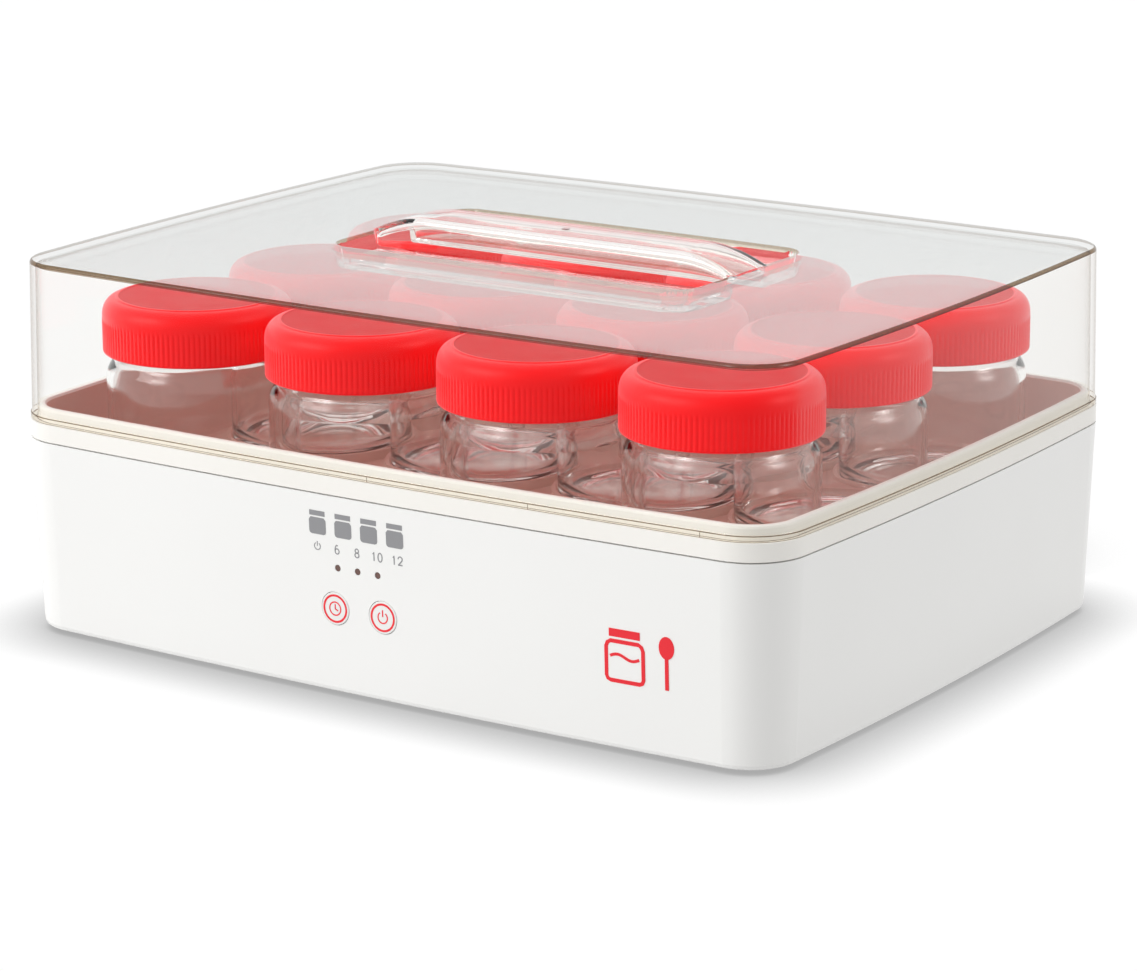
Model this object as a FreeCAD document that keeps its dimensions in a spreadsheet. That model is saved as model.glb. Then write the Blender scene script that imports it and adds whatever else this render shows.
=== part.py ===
import FreeCAD, Part
import math
import os
import Sketcher
from FreeCAD import Placement, Rotation, Vector

# Electric yogurt maker: a warmed tray that holds twelve glass jars under a clear lift-off lid.
# Millimetres. +Z up, +X to the right along the long front, -Y is the front with the buttons.
# The origin is on the table, under the middle of the base.

os.makedirs("parts", exist_ok=True)
doc = FreeCAD.newDocument("yogurt_maker")

# ---------------------------------------------------------------- driving dimensions
# "_rad" is a radius; "_out" and "_in" are offsets of the shared outline, outward positive.
SIZES = dict(
    # shared outline
    half_wide=172.5,         # middle of the short sides
    half_deep=132.72,        # middle of the long sides
    front_rad=3610.0,        # the long sides bow outward on this radius
    side_rad=2040.0,         # the short sides bow outward on this radius
    corner_rad=20.4,
    # casing; its walls lean out
    case_bottom=2.0,
    case_top=77.35,
    case_out_low=-0.86,
    case_out_high=1.77,
    case_wall=2.5,
    case_edge=1.8,
    sleeve_low=4.8,
    sleeve_rad=4.5,
    sleeve_tall=26.0,
    boss_rad=4.2,            # for the short screws
    boss_tall=18.0,
    web_low=5.0,
    web_tall=16.0,
    # tray
    rim_low=77.9,
    rim_high=84.6,
    lip_high=90.0,
    lip_out=-1.6,
    lip_in=-4.4,
    tray_floor=55.0,
    tray_skin=2.0,
    tray_wall=2.2,
    tray_in_low=-9.0,
    skirt_low=70.0,
    skirt_gap=0.35,          # also between the base plate and the casing
    post_low=31.2,
    post_rad=4.2,
    # lid
    lid_low=84.8,
    lid_step=87.2,
    lid_high=146.8,
    lid_wall=2.1,
    lid_crown=1.5,
    lid_out_low=1.3,
    lid_edge=1.5,
    well_wide=81.7,          # half sizes of the sunken well
    well_deep=45.4,
    well_floor=141.3,
    well_rad=11.0,
    bar_high=155.3,
    bar_half=12.8,
    bar_edge_rad=1.6,
    # jars, caps and the rings round them
    pitch_wide=79.03,
    pitch_deep=78.64,
    jar_low=55.2,
    jar_high=127.9,
    jar_rad=35.8,
    jar_glass=2.5,
    neck_rad=32.6,
    cap_low=108.9,
    cap_high=130.4,
    cap_rad=36.86,
    cap_skin=1.9,
    cap_top_rad=31.2,
    ring_rad=36.5,
    ring_thick=1.7,
    ring_high=59.0,
    # base plate, feet and case screws
    plate_thick=2.5,
    foot_rad=8.0,
    foot_x=140.0,
    foot_y=98.0,
    foot_tall=2.98,
    screw_x=155.0,           # long screws
    screw_y=108.0,
    mid_screw_x=85.0,        # short screws
    mid_screw_y=121.0,
    case_screw_clear=1.9,    # radius of the holes they pass through
    case_screw_pilot=1.6,    # radius of the holes they bite into
    # buttons and indicator lenses
    button_rad=6.2,
    button_z=34.5,
    time_button_x=-13.4,
    power_button_x=8.1,
    button_edge_rad=0.35,
    lens_rad=1.2,
    lens_z=50.3,
    lens_first_x=-11.6,
    lens_pitch=9.0,
    # control board, upright; board_y is its front face
    board_x=-3.0,
    board_wide=64.0,
    board_low=18.0,
    board_high=52.3,
    board_y=-121.6,
    board_thick=1.6,         # also the power board's
    board_screw_inset=3.6,
    board_screw_low=22.0,
    board_screw_high=46.5,
    board_hole_rad=1.6,
    board_pilot_rad=1.3,
    # power board, lying flat
    power_x=92.0,
    power_y=66.0,
    power_wide=92.0,
    power_deep=58.0,
    power_low=12.0,
    power_screw_inset=4.5,
    # heater
    spreader_wide=306.0,
    spreader_deep=226.0,
    spreader_low=51.9,
    spreader_thick=1.0,
    heat_cord_rad=1.5,
    heat_cord_z=50.1,
    heat_run=128.0,
    heat_pitch=28.0,
    strip_pitch=100.0,
    strip_screw_y=106.0,
    # mains cord
    inlet_x=118.0,
    inlet_z=20.0,
    cord_rad=3.1,
)
sheet = doc.addObject("Spreadsheet::Sheet", "Dimensions")
for row, (alias, number) in enumerate(SIZES.items(), start=1):
    sheet.set("A%d" % row, alias.replace("_", " "))
    sheet.set("B%d" % row, repr(number))
    sheet.setAlias("B%d" % row, alias)
doc.recompute()


class Size:
    """A size: its number now and the sheet expression that keeps it."""

    def __init__(self, value, text):
        self.value, self.text = float(value), text

    def __add__(self, other):
        other = as_size(other)
        return Size(self.value + other.value, "(%s + %s)" % (self.text, other.text))

    def __sub__(self, other):
        other = as_size(other)
        return Size(self.value - other.value, "(%s - %s)" % (self.text, other.text))

    def __mul__(self, other):
        other = as_size(other)
        return Size(self.value * other.value, "(%s * %s)" % (self.text, other.text))

    def __truediv__(self, other):
        other = as_size(other)
        return Size(self.value / other.value, "(%s / %s)" % (self.text, other.text))

    def __neg__(self):
        return Size(-self.value, "(0 - %s)" % self.text)

    __radd__ = __add__


def as_size(x):
    if isinstance(x, Size):
        return x
    return Size(x, repr(float(x)) if x >= 0 else "(0 - %r)" % float(-x))


class Dimensions:
    """Holds each driving dimension as an attribute."""


dim = Dimensions()
for alias, number in SIZES.items():
    setattr(dim, alias, Size(number, "Dimensions." + alias))

# ---------------------------------------------------------------- shared places
SIDES = [(sx, sy) for sx in (-1, 1) for sy in (-1, 1)]


def corners(x, y):
    """The four mirror images of a point."""
    return [(x * sx, y * sy) for sx, sy in SIDES]


def at_height(points, z):
    return [(x, y, z) for x, y in points]


def at_depth(points, y):
    """Points given as (x, z), set at one y."""
    return [(x, y, z) for x, z in points]


long_screws = corners(dim.screw_x, dim.screw_y)
short_screws = corners(dim.mid_screw_x, dim.mid_screw_y)
feet = corners(dim.foot_x, dim.foot_y)
board_screws = [    # (x, z)
    (dim.board_x + (dim.board_wide / 2 - dim.board_screw_inset) * side, z)
    for side in (-1, 1) for z in (dim.board_screw_low, dim.board_screw_high)
]
power_screws = [
    (dim.power_x + x, dim.power_y + y)
    for x, y in corners(dim.power_wide / 2 - dim.power_screw_inset,
                        dim.power_deep / 2 - dim.power_screw_inset)
]
strip_xs = [dim.strip_pitch * i for i in (-1, 0, 1)]
strip_screws = [(x, dim.strip_screw_y * side) for x in strip_xs for side in (-1, 1)]
jar_places = [
    (dim.pitch_wide * (i - 1.5), dim.pitch_deep * (j - 1)) for j in range(3) for i in range(4)
]
lens_places = [(dim.lens_first_x + dim.lens_pitch * i, dim.lens_z) for i in range(3)]
button_xs = {"time_button": dim.time_button_x, "power_button": dim.power_button_x}

# ---------------------------------------------------------------- binding and placing
PARTS = []


def keep(obj, label):
    """Labels a finished piece and lists it for export."""
    obj.Label = label
    PARTS.append(obj)


def bind(obj, prop, amount):
    """Sets a property and ties it to the sheet."""
    amount = as_size(amount)
    setattr(obj, prop, amount.value)
    obj.setExpression(prop, amount.text)


def place(obj, at, rotation=Rotation()):
    at = [as_size(a) for a in at]
    obj.Placement = Placement(Vector(*[a.value for a in at]), rotation)
    for axis, a in zip("xyz", at):
        obj.setExpression("Placement.Base." + axis, a.text)


def new_body(label):
    body = doc.addObject("PartDesign::Body", "B_" + label)
    keep(body, label)
    return body


def origin_feature(body, role):
    return [f for f in body.Origin.OriginFeatures if f.Role == role][0]


def new_sketch(body, name, role="XY_Plane", lift=None):
    """A sketch on an origin plane, moved by lift along the plane's normal.

    XZ_Plane has X across and Z up, and its normal points to the front, -Y.
    YZ_Plane has Y across and Z up, and its normal points to +X.
    """
    sketch = body.newObject("Sketcher::SketchObject", name)
    sketch.AttachmentSupport = [(origin_feature(body, role), "")]
    sketch.MapMode = "FlatFace"
    if lift is not None:
        lift = as_size(lift)
        sketch.AttachmentOffset = Placement(Vector(0, 0, lift.value), Rotation())
        sketch.setExpression("AttachmentOffset.Base.z", lift.text)
    return sketch


# ---------------------------------------------------------------- sketch shapes
START, END, CENTRE = 1, 2, 3    # the sketcher's numbers for points of an element
ORIGIN = (-1, START)


def constrain(sketch, kind, elements, amount):
    """Adds a bound dimension, named after its kind and the element it places."""
    name = "_".join([kind] + [str(n) for n in elements[-2:]])
    if amount.value < 0 and kind in ("DistanceX", "DistanceY"):
        elements = elements[2:] + elements[:2]
        amount = -amount
    index = sketch.addConstraint(Sketcher.Constraint(kind, *elements, amount.value))
    sketch.renameConstraint(index, name)
    sketch.setExpression("Constraints." + name, amount.text)


def pin(sketch, geo, pos, x, y):
    """Places a sketch point at (x, y) from the origin."""
    for kind, amount, axis in (("DistanceX", as_size(x), -2), ("DistanceY", as_size(y), -1)):
        if abs(amount.value) < 1e-9:
            sketch.addConstraint(Sketcher.Constraint("PointOnObject", geo, pos, axis))
        else:
            constrain(sketch, kind, ORIGIN + (geo, pos), amount)


def line(x0, y0, x1, y1):
    return Part.LineSegment(Vector(x0, y0, 0), Vector(x1, y1, 0))


def arc(x, y, radius, start, end):
    return Part.ArcOfCircle(Part.Circle(Vector(x, y, 0), Vector(0, 0, 1), radius), start, end)


def join_tangent(sketch, first, count):
    """Joins a closed run of elements end to start, each tangent to the next."""
    for i in range(count):
        following = first + (i + 1) % count
        sketch.addConstraint(Sketcher.Constraint("Tangent", first + i, END, following, START))


def polygon(sketch, points):
    points = [(as_size(x), as_size(y)) for x, y in points]
    first = sketch.GeometryCount
    count = len(points)
    for i, (x0, y0) in enumerate(points):
        x1, y1 = points[(i + 1) % count]
        sketch.addGeometry(line(x0.value, y0.value, x1.value, y1.value), False)
    for i in range(count):
        following = first + (i + 1) % count
        sketch.addConstraint(Sketcher.Constraint("Coincident", first + i, END, following, START))
    for i, (x, y) in enumerate(points):
        pin(sketch, first + i, START, x, y)


def rectangle(sketch, x_ends, y_ends):
    x0, x1 = sorted(map(as_size, x_ends), key=lambda end: end.value)
    y0, y1 = sorted(map(as_size, y_ends), key=lambda end: end.value)
    polygon(sketch, [(x0, y0), (x1, y0), (x1, y1), (x0, y1)])


def circle(sketch, x, y, radius):
    x, y, radius = as_size(x), as_size(y), as_size(radius)
    shape = Part.Circle(Vector(x.value, y.value, 0), Vector(0, 0, 1), radius.value)
    geo = sketch.addGeometry(shape, False)
    pin(sketch, geo, CENTRE, x, y)
    constrain(sketch, "Radius", (geo,), radius)


def corner_centre(half_x, half_y, front_rad, side_rad, corner_rad):
    """Centre of the corner arc that touches both bowed sides from inside, by Newton's method."""
    x, y = half_x - corner_rad, half_y - corner_rad
    front_y, side_x = front_rad - half_y, side_rad - half_x
    for _ in range(60):
        to_front = math.hypot(x, y + front_y)
        to_side = math.hypot(x + side_x, y)
        front_miss = to_front - (front_rad - corner_rad)
        side_miss = to_side - (side_rad - corner_rad)
        front_dx, front_dy = x / to_front, (y + front_y) / to_front
        side_dx, side_dy = (x + side_x) / to_side, y / to_side
        det = front_dx * side_dy - front_dy * side_dx
        x -= (front_miss * side_dy - side_miss * front_dy) / det
        y -= (side_miss * front_dx - front_miss * side_dx) / det
    return x, y


def outline(sketch, grow=0, scale=1.0):
    """The bowed rectangle with round corners that the casing, tray and lid share."""
    grow = as_size(grow)
    half_x, half_y = dim.half_wide * scale, dim.half_deep * scale
    long_rad, short_rad = dim.front_rad * scale, dim.side_rad * scale
    corner_rad = dim.corner_rad * scale
    cx, cy = corner_centre(*[
        size.value for size in (half_x, half_y, long_rad, short_rad, corner_rad)
    ])
    front_y, side_x = long_rad - half_y, short_rad - half_x    # centres of the bowed sides
    fy, sx = front_y.value, side_x.value
    phi = math.atan2(cx, cy + fy)     # half angle of the front arc
    psi = math.atan2(cy, cx + sx)     # half angle of the side arc
    quarter = math.pi / 2
    arcs = [    # centre x, centre y, radius, start angle, end angle
        (0, fy, long_rad, 3 * quarter - phi, 3 * quarter + phi),
        (cx, -cy, corner_rad, 3 * quarter + phi, 4 * quarter - psi),
        (-sx, 0, short_rad, -psi, psi),
        (cx, cy, corner_rad, psi, quarter - phi),
        (0, -fy, long_rad, quarter - phi, quarter + phi),
        (-cx, cy, corner_rad, quarter + phi, 2 * quarter - psi),
        (sx, 0, short_rad, 2 * quarter - psi, 2 * quarter + psi),
        (-cx, -cy, corner_rad, 2 * quarter + psi, 3 * quarter - phi),
    ]
    first = sketch.GeometryCount
    for x, y, radius, start, end in arcs:
        sketch.addGeometry(arc(x, y, radius.value + grow.value, start, end), False)
    join_tangent(sketch, first, 8)
    for i, x, y in ((0, 0, front_y), (4, 0, -front_y), (2, -side_x, 0), (6, side_x, 0)):
        pin(sketch, first + i, CENTRE, x, y)
    for i, (_, _, radius, _, _) in enumerate(arcs):
        constrain(sketch, "Radius", (first + i,), radius + grow)


def round_rect(sketch, half_x, half_y, radius):
    centre_x, centre_y = half_x - radius, half_y - radius
    radius = as_size(radius)
    x, y, r = half_x.value, half_y.value, radius.value
    quarter = math.pi / 2
    first = sketch.GeometryCount
    for shape in (
        line(-x + r, -y, x - r, -y),
        arc(x - r, -y + r, r, 3 * quarter, 4 * quarter),
        line(x, -y + r, x, y - r),
        arc(x - r, y - r, r, 0, quarter),
        line(x - r, y, -x + r, y),
        arc(-x + r, y - r, r, quarter, 2 * quarter),
        line(-x, y - r, -x, -y + r),
        arc(-x + r, -y + r, r, 2 * quarter, 3 * quarter),
    ):
        sketch.addGeometry(shape, False)
    join_tangent(sketch, first, 8)
    for i in (0, 4):
        sketch.addConstraint(Sketcher.Constraint("Horizontal", first + i))
    for i in (2, 6):
        sketch.addConstraint(Sketcher.Constraint("Vertical", first + i))
    pin(sketch, first + 1, CENTRE, centre_x, -centre_y)
    pin(sketch, first + 5, CENTRE, -centre_x, centre_y)
    for i in (1, 3, 5, 7):
        constrain(sketch, "Radius", (first + i,), radius)


# ---------------------------------------------------------------- body features
def current_volume(body):
    doc.recompute()
    return body.Shape.Volume


def require_cut(body, before, name):
    """Stops the build if a cut took nothing away."""
    now = current_volume(body)
    if now > before - 1e-3:
        raise RuntimeError("%s: %s cut nothing (%.3f, was %.3f)" % (body.Label, name, now, before))


def extrude(body, kind, sketch, length, name, reverse, midplane):
    feature = body.newObject(kind, name)
    feature.Profile = sketch
    bind(feature, "Length", length)
    feature.Reversed = reverse
    feature.Midplane = midplane


def pad(body, sketch, length, name, midplane=False):
    extrude(body, "PartDesign::Pad", sketch, length, name, False, midplane)


def pocket(body, sketch, length, name, midplane=False):
    """Cuts along the sketch's normal, or to both sides of it."""
    before = current_volume(body)
    extrude(body, "PartDesign::Pocket", sketch, length, name, not midplane, midplane)
    require_cut(body, before, name)


def round_sketch(body, name, groups, lift, role):
    sketch = new_sketch(body, name, role, lift)
    for points, radius in groups:
        for x, y in points:
            circle(sketch, x, y, radius)
    return sketch


def round_pad(body, sketch_name, name, groups, start, length, role="XY_Plane"):
    """Pads circles; each group is (points, radius)."""
    pad(body, round_sketch(body, sketch_name, groups, start, role), length, name)


def round_pocket(body, sketch_name, name, groups, start, length, role="XY_Plane"):
    """Pockets circles; each group is (points, radius)."""
    pocket(body, round_sketch(body, sketch_name, groups, start, role), length, name)


def loft(body, sections, name, cut=False):
    if cut:
        before = current_volume(body)
    kind = "PartDesign::SubtractiveLoft" if cut else "PartDesign::AdditiveLoft"
    feature = body.newObject(kind, name)
    feature.Profile = sections[0]
    feature.Sections = sections[1:]
    feature.Ruled = True
    if cut:
        require_cut(body, before, name)


def level(body, name, z, grow=0, scale=1.0):
    """A sketch of the shared outline at height z."""
    sketch = new_sketch(body, name, lift=z)
    outline(sketch, grow, scale)
    return sketch


def stack(body, name, levels, cut=False):
    """A ruled solid through the shared outline at several levels: (height, offset)."""
    sections = [level(body, "%sLevel%d" % (name, i), z, grow)
                for i, (z, grow) in enumerate(levels)]
    loft(body, sections, name, cut)


def lean(z, low, high):
    """Offset at height z of a straight wall between two (height, offset) ends."""
    return low[1] + (high[1] - low[1]) * ((z - low[0]) / (high[0] - low[0]))


def revolve(body, sketch, name, angle=360.0, midplane=False, axis="V_Axis"):
    feature = body.newObject("PartDesign::Revolution", name)
    feature.Profile = sketch
    feature.ReferenceAxis = (sketch, [axis])
    feature.Angle = angle
    feature.Midplane = midplane
    return feature


def turned(body, sketch_name, name, points, **turn):
    """Turns a profile of (distance from the axis, height) about the body's Z axis."""
    sketch = new_sketch(body, sketch_name, "XZ_Plane")
    polygon(sketch, points)
    return revolve(body, sketch, name, **turn)


def four_around(body, feature, name):
    doc.recompute()
    pattern = body.newObject("PartDesign::PolarPattern", name)
    pattern.Originals = [feature]
    pattern.Axis = (origin_feature(body, "Z_Axis"), [""])
    pattern.Angle = 360.0
    pattern.Occurrences = 4
    body.Tip = pattern


def edges_in_plane(body, axis, position, longer_than=0.0):
    """Names of the edges that lie in a plane across the axis and reach far enough along X."""
    names = []
    for i, edge in enumerate(body.Shape.Edges, start=1):
        box = edge.BoundBox
        ends = getattr(box, axis + "Min"), getattr(box, axis + "Max")
        if all(abs(end - position) < 0.02 for end in ends) and box.XLength > longer_than:
            names.append("Edge%d" % i)
    return names


def fillet(body, edges, radius, name):
    base = body.Tip
    feature = body.newObject("PartDesign::Fillet", name)
    feature.Base = (base, edges)
    bind(feature, "Radius", radius)


# ---------------------------------------------------------------- simple solids
FRONT = (0, -1, 0)
BACK = (0, 1, 0)
RIGHT = (1, 0, 0)
UP = (0, 0, 1)


def rod(label, radius, length, at, axis):
    """A cylinder; at is the centre of its first end."""
    cylinder = doc.addObject("Part::Cylinder", "C_" + label)
    bind(cylinder, "Radius", radius)
    bind(cylinder, "Height", length)
    place(cylinder, at, Rotation(Vector(0, 0, 1), Vector(*axis)))
    cylinder.Label = "blank_" + label
    return cylinder


def block(label, size, at):
    """A block; at is its lowest corner."""
    box = doc.addObject("Part::Box", "X_" + label)
    for prop, amount in zip(("Length", "Width", "Height"), size):
        bind(box, prop, amount)
    place(box, at)
    box.Label = "blank_" + label
    return box


def fuse(label, shapes):
    joined = doc.addObject("Part::MultiFuse", "F_" + label)
    joined.Shapes = shapes
    joined.Label = "joined_" + label
    return joined


def cut(label, base, tool):
    result = doc.addObject("Part::Cut", "K_" + label)
    result.Base, result.Tool = base, tool
    result.Label = "cut_" + label
    return result


def keep_group(label, shapes):
    """Keeps separate solids as one piece."""
    compound = doc.addObject("Part::Compound", "G_" + label)
    compound.Links = shapes
    keep(compound, label)


def keep_shape(label, shape):
    feature = doc.addObject("Part::Feature", "P_" + label)
    feature.Shape = shape
    keep(feature, label)


def drill(label, base, radius, length, places, axis):
    """Cuts a row of equal holes."""
    tools = [rod("%s_hole%d" % (label, i), radius, length, at, axis)
             for i, at in enumerate(places)]
    return cut(label, base, fuse(label + "_holes", tools))


def stepped_rods(node, label, places, axis, steps):
    """Equal pins or screws; steps are (name, radius, length, start along the axis)."""
    pieces = []
    for i, at in enumerate(places):
        rods = []
        for step, radius, length, start in steps:
            first_end = [p + start * a if a else p for p, a in zip(at, axis)]
            rods.append(rod("%s_%s%d" % (label, step, i), radius, length, first_end, axis))
        pieces.append(fuse("%s%d" % (label, i), rods))
    keep_group(node, pieces)


# ---------------------------------------------------------------- outer casing
def wall_offset(z):
    """Outline offset of the leaning casing wall at height z."""
    return lean(z, (dim.case_bottom, dim.case_out_low), (dim.case_top, dim.case_out_high))


def screw_webs(casing):
    """Webs from the sleeves and bosses out to the wall."""
    web_half = 1.0
    web_start = 3.0       # distance from the screw's axis
    sleeve_reach = 11.5
    boss_reach = 8.0
    sketch = new_sketch(casing, "Webs", lift=dim.web_low)
    for sx, sy in SIDES:
        x, y = dim.screw_x * sx, dim.screw_y * sy
        rectangle(sketch, (x + web_start * sx, x + sleeve_reach * sx),
                  (y - web_half, y + web_half))
        x, y = dim.mid_screw_x * sx, dim.mid_screw_y * sy
        rectangle(sketch, (x - web_half, x + web_half),
                  (y + web_start * sy, y + boss_reach * sy))
    pad(casing, sketch, dim.web_tall, "WebPad")


def make_casing():
    casing = new_body("outer_casing")
    low, edge = dim.case_bottom, dim.case_edge
    stack(casing, "CaseSkin", [
        (low, dim.case_out_low - edge * 0.7),
        (low + edge * 0.3, dim.case_out_low - edge * 0.24),
        (low + edge, wall_offset(low + edge)),
        (dim.case_top, dim.case_out_high),
    ])
    stack(casing, "CaseHollow", [
        (z, wall_offset(z) - dim.case_wall) for z in (low - 1.0, dim.case_top + 1.0)
    ], cut=True)

    # sleeves for the long screws and bosses for the short ones
    round_pad(casing, "Sleeves", "SleevePad", [(long_screws, dim.sleeve_rad)],
              dim.sleeve_low, dim.sleeve_tall)
    round_pad(casing, "Bosses", "BossPad", [(short_screws, dim.boss_rad)],
              dim.sleeve_low, dim.boss_tall)
    screw_webs(casing)

    # round bosses on the inside of the front wall that carry the control board
    board_boss_rad, board_boss_long, board_bore_deep = 3.0, 10.0, 7.0
    round_pad(casing, "BoardBosses", "BoardBossPad", [(board_screws, board_boss_rad)],
              -dim.board_y + 0.1, board_boss_long, "XZ_Plane")
    bore_long = 40.0
    round_pocket(casing, "SleeveHoles", "SleeveBores",
                 [(long_screws, dim.case_screw_clear), (short_screws, dim.case_screw_pilot)],
                 dim.sleeve_low - 0.8, bore_long)
    round_pocket(casing, "BoardBossHoles", "BoardBossBores",
                 [(board_screws, dim.board_pilot_rad)],
                 -dim.board_y, board_bore_deep, "XZ_Plane")

    # front wall: openings for the two buttons and the three indicator lenses
    button_gap, lens_gap = 0.2, 0.1
    front_start, front_long = 125.0, 15.0
    buttons = [(x, dim.button_z) for x in button_xs.values()]
    round_pocket(casing, "FrontHoles", "FrontOpenings",
                 [(buttons, dim.button_rad + button_gap), (lens_places, dim.lens_rad + lens_gap)],
                 front_start, front_long, "XZ_Plane")

    # back wall: cord inlet, cut from behind the casing towards the front
    inlet_rad, inlet_y, inlet_long = 5.2, 145.0, 25.0
    round_pocket(casing, "InletHole", "Inlet", [([(dim.inlet_x, dim.inlet_z)], inlet_rad)],
                 -inlet_y, inlet_long, "XZ_Plane")


# ---------------------------------------------------------------- base plate
def make_base_plate():
    base = new_body("base_plate")
    low = dim.case_bottom
    plate = level(base, "PlateShape", low, dim.case_out_low - dim.case_wall - dim.skirt_gap)
    pad(base, plate, dim.plate_thick, "Plate")

    # round pad under the middle, down to the table
    centre_rad = 12.0
    round_pad(base, "CentrePad", "PadBoss", [([(0, 0)], centre_rad)], 0, low + 0.5)

    # standoffs that carry the power board
    standoff_rad, standoff_bore_deep = 3.4, 7.0
    round_pad(base, "Standoffs", "StandoffPad", [(power_screws, standoff_rad)],
              low + 1.0, dim.power_low - low - 1.05)

    rib_half, rib_tall = 1.0, 6.0
    ribs = [(-150, 150, -60), (-150, 30, 10), (-150, 30, 80)]    # left end, right end, y
    sketch = new_sketch(base, "StiffRibs", lift=low + 1.0)
    for left, right, y in ribs:
        rectangle(sketch, (left, right), (y - rib_half, y + rib_half))
    pad(base, sketch, rib_tall, "Ribs")

    seat_gap, seat_deep = 0.15, 1.0
    round_pocket(base, "FootSeats", "Seats", [(feet, dim.foot_rad + seat_gap)], low, seat_deep)
    through = 4.0
    sink_rad, sink_deep = 3.4, 1.3
    case_screws = long_screws + short_screws
    round_pocket(base, "ScrewHoles", "ScrewBores", [(case_screws, dim.case_screw_clear)],
                 low, through)
    round_pocket(base, "ScrewSinks", "Sinks", [(case_screws, sink_rad)], low, sink_deep)
    round_pocket(base, "StandoffBores", "StandoffHoles", [(power_screws, dim.board_pilot_rad)],
                 dim.power_low - 6.0, standoff_bore_deep)

    # two banks of vent slots
    bank_xs, bank_ys = (-95.0, 78.0), (-48.0, -14.0)
    slot_pitch, slot_half = 8.0, 1.3
    sketch = new_sketch(base, "VentSlots", lift=low)
    for bank_x in bank_xs:
        for i in range(-3, 4):
            x = bank_x + i * slot_pitch
            rectangle(sketch, (x - slot_half, x + slot_half), bank_ys)
    pocket(base, sketch, through, "Vents")


# ---------------------------------------------------------------- inner tray with its rim
def tub_offset(z):
    """Outline offset of the inside of the tub at height z."""
    return lean(z, (dim.tray_floor, dim.tray_in_low), (dim.lip_high, dim.lip_in))


def make_tray():
    tray = new_body("top_tray")
    floor, lip = dim.tray_floor, dim.lip_high
    pad(tray, level(tray, "RimShape", dim.rim_low, dim.case_out_high),
        dim.rim_high - dim.rim_low, "Rim")
    stack(tray, "Lip", [
        (dim.rim_high - 1.0, dim.lip_out),
        (lip - 1.1, dim.lip_out),
        (lip - 0.35, dim.lip_out - 0.35),
        (lip, dim.lip_out - 1.1),
    ])
    tub_low, tub_high = floor - dim.tray_skin, dim.rim_low + 2.0
    loft(tray, [
        level(tray, "TubLow", tub_low, tub_offset(tub_low) + dim.tray_wall),
        level(tray, "TubHigh", tub_high, tub_offset(tub_high) + dim.tray_wall),
    ], "Tub")

    # skirt inside the top of the casing wall
    case_inside = dim.case_out_high - dim.case_wall
    skirt = level(tray, "SkirtShape", dim.skirt_low, case_inside - dim.skirt_gap)
    outline(skirt, case_inside - 2.1)
    pad(tray, skirt, dim.rim_low - dim.skirt_low + 0.5, "Skirt")
    stack(tray, "TubHollow", [
        (floor, dim.tray_in_low - 2.4),
        (floor + 0.7, dim.tray_in_low - 0.6),
        (floor + 2.4, tub_offset(floor + 2.4)),
        (lip - 0.9, tub_offset(lip - 0.9)),
        (lip + 0.5, dim.lip_in + 1.0),
    ], cut=True)

    # a ring on the floor round each jar
    rings = [(jar_places, dim.ring_rad), (jar_places, dim.ring_rad + dim.ring_thick)]
    round_pad(tray, "JarRings", "Rings", rings, floor - 0.5, dim.ring_high - floor + 0.5)

    # posts for the long screws and bosses for the heater screws, under the floor
    boss_rad, boss_pilot, boss_bore_long = 3.5, 1.5, 3.4
    post_bore_long = 18.0
    round_pad(tray, "Posts", "PostPad", [(long_screws, dim.post_rad)],
              dim.post_low, floor - dim.post_low - 1.0)
    round_pad(tray, "PlateBosses", "PlateBossPad", [(strip_screws, boss_rad)],
              dim.spreader_low - 0.05, floor - dim.spreader_low - 0.5)
    round_pocket(tray, "PostBores", "PostHoles", [(long_screws, dim.case_screw_pilot)],
                 dim.post_low - 0.2, post_bore_long)
    round_pocket(tray, "PlateBossBores", "PlateBossHoles", [(strip_screws, boss_pilot)],
                 dim.spreader_low - 1.0, boss_bore_long)


# ---------------------------------------------------------------- clear lid with its grip
def well_level(lid, name, z, grow, grow_rad):
    """The round rectangle of the sunken well at height z, grown all round."""
    sketch = new_sketch(lid, name, lift=z)
    round_rect(sketch, dim.well_wide + grow, dim.well_deep + grow, dim.well_rad + grow_rad)
    return sketch


def mirrored(points):
    return [(-x, z) for x, z in points]


def grip_bar(lid):
    """The hollow bar that bridges the well end to end. Profiles are right halves, (x, z)."""
    end, top, roof = dim.well_wide, dim.bar_high, dim.lid_high
    upper = [
        (end + 4.0, roof + dim.lid_crown - 1.2),
        (end + 1.2, roof + dim.lid_crown),
        (end - 3.0, roof + 3.2),
        (end - 8.5, roof + 5.7),
        (end - 14.0, top - 1.0),
        (end - 19.0, top - 0.2),
        (end - 24.0, top),
    ]
    lower = [
        (end + 4.0, roof - 0.4),
        (end - 1.0, roof - 0.6),
        (end - 1.6, dim.well_floor - 1.0),
    ]
    sketch = new_sketch(lid, "BarShape", "XZ_Plane")
    polygon(sketch, mirrored(upper) + upper[::-1] + lower + mirrored(lower)[::-1])
    pad(lid, sketch, dim.bar_half * 2, "Bar", midplane=True)

    hollow = [
        (end - 3.2, dim.well_floor - 3.0),
        (end - 4.0, roof + 0.6),
        (end - 9.5, roof + 3.3),
        (end - 15.0, top - 3.2),
        (end - 20.0, top - 2.2),
    ]
    bar_side = 2.1
    sketch = new_sketch(lid, "BarHollowShape", "XZ_Plane")
    polygon(sketch, mirrored(hollow) + hollow[::-1])
    pocket(lid, sketch, (dim.bar_half - bar_side) * 2, "BarHollow", midplane=True)
    long_top = edges_in_plane(lid, "Z", top.value, longer_than=60)
    fillet(lid, long_top, dim.bar_edge_rad, "BarEdge")


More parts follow.
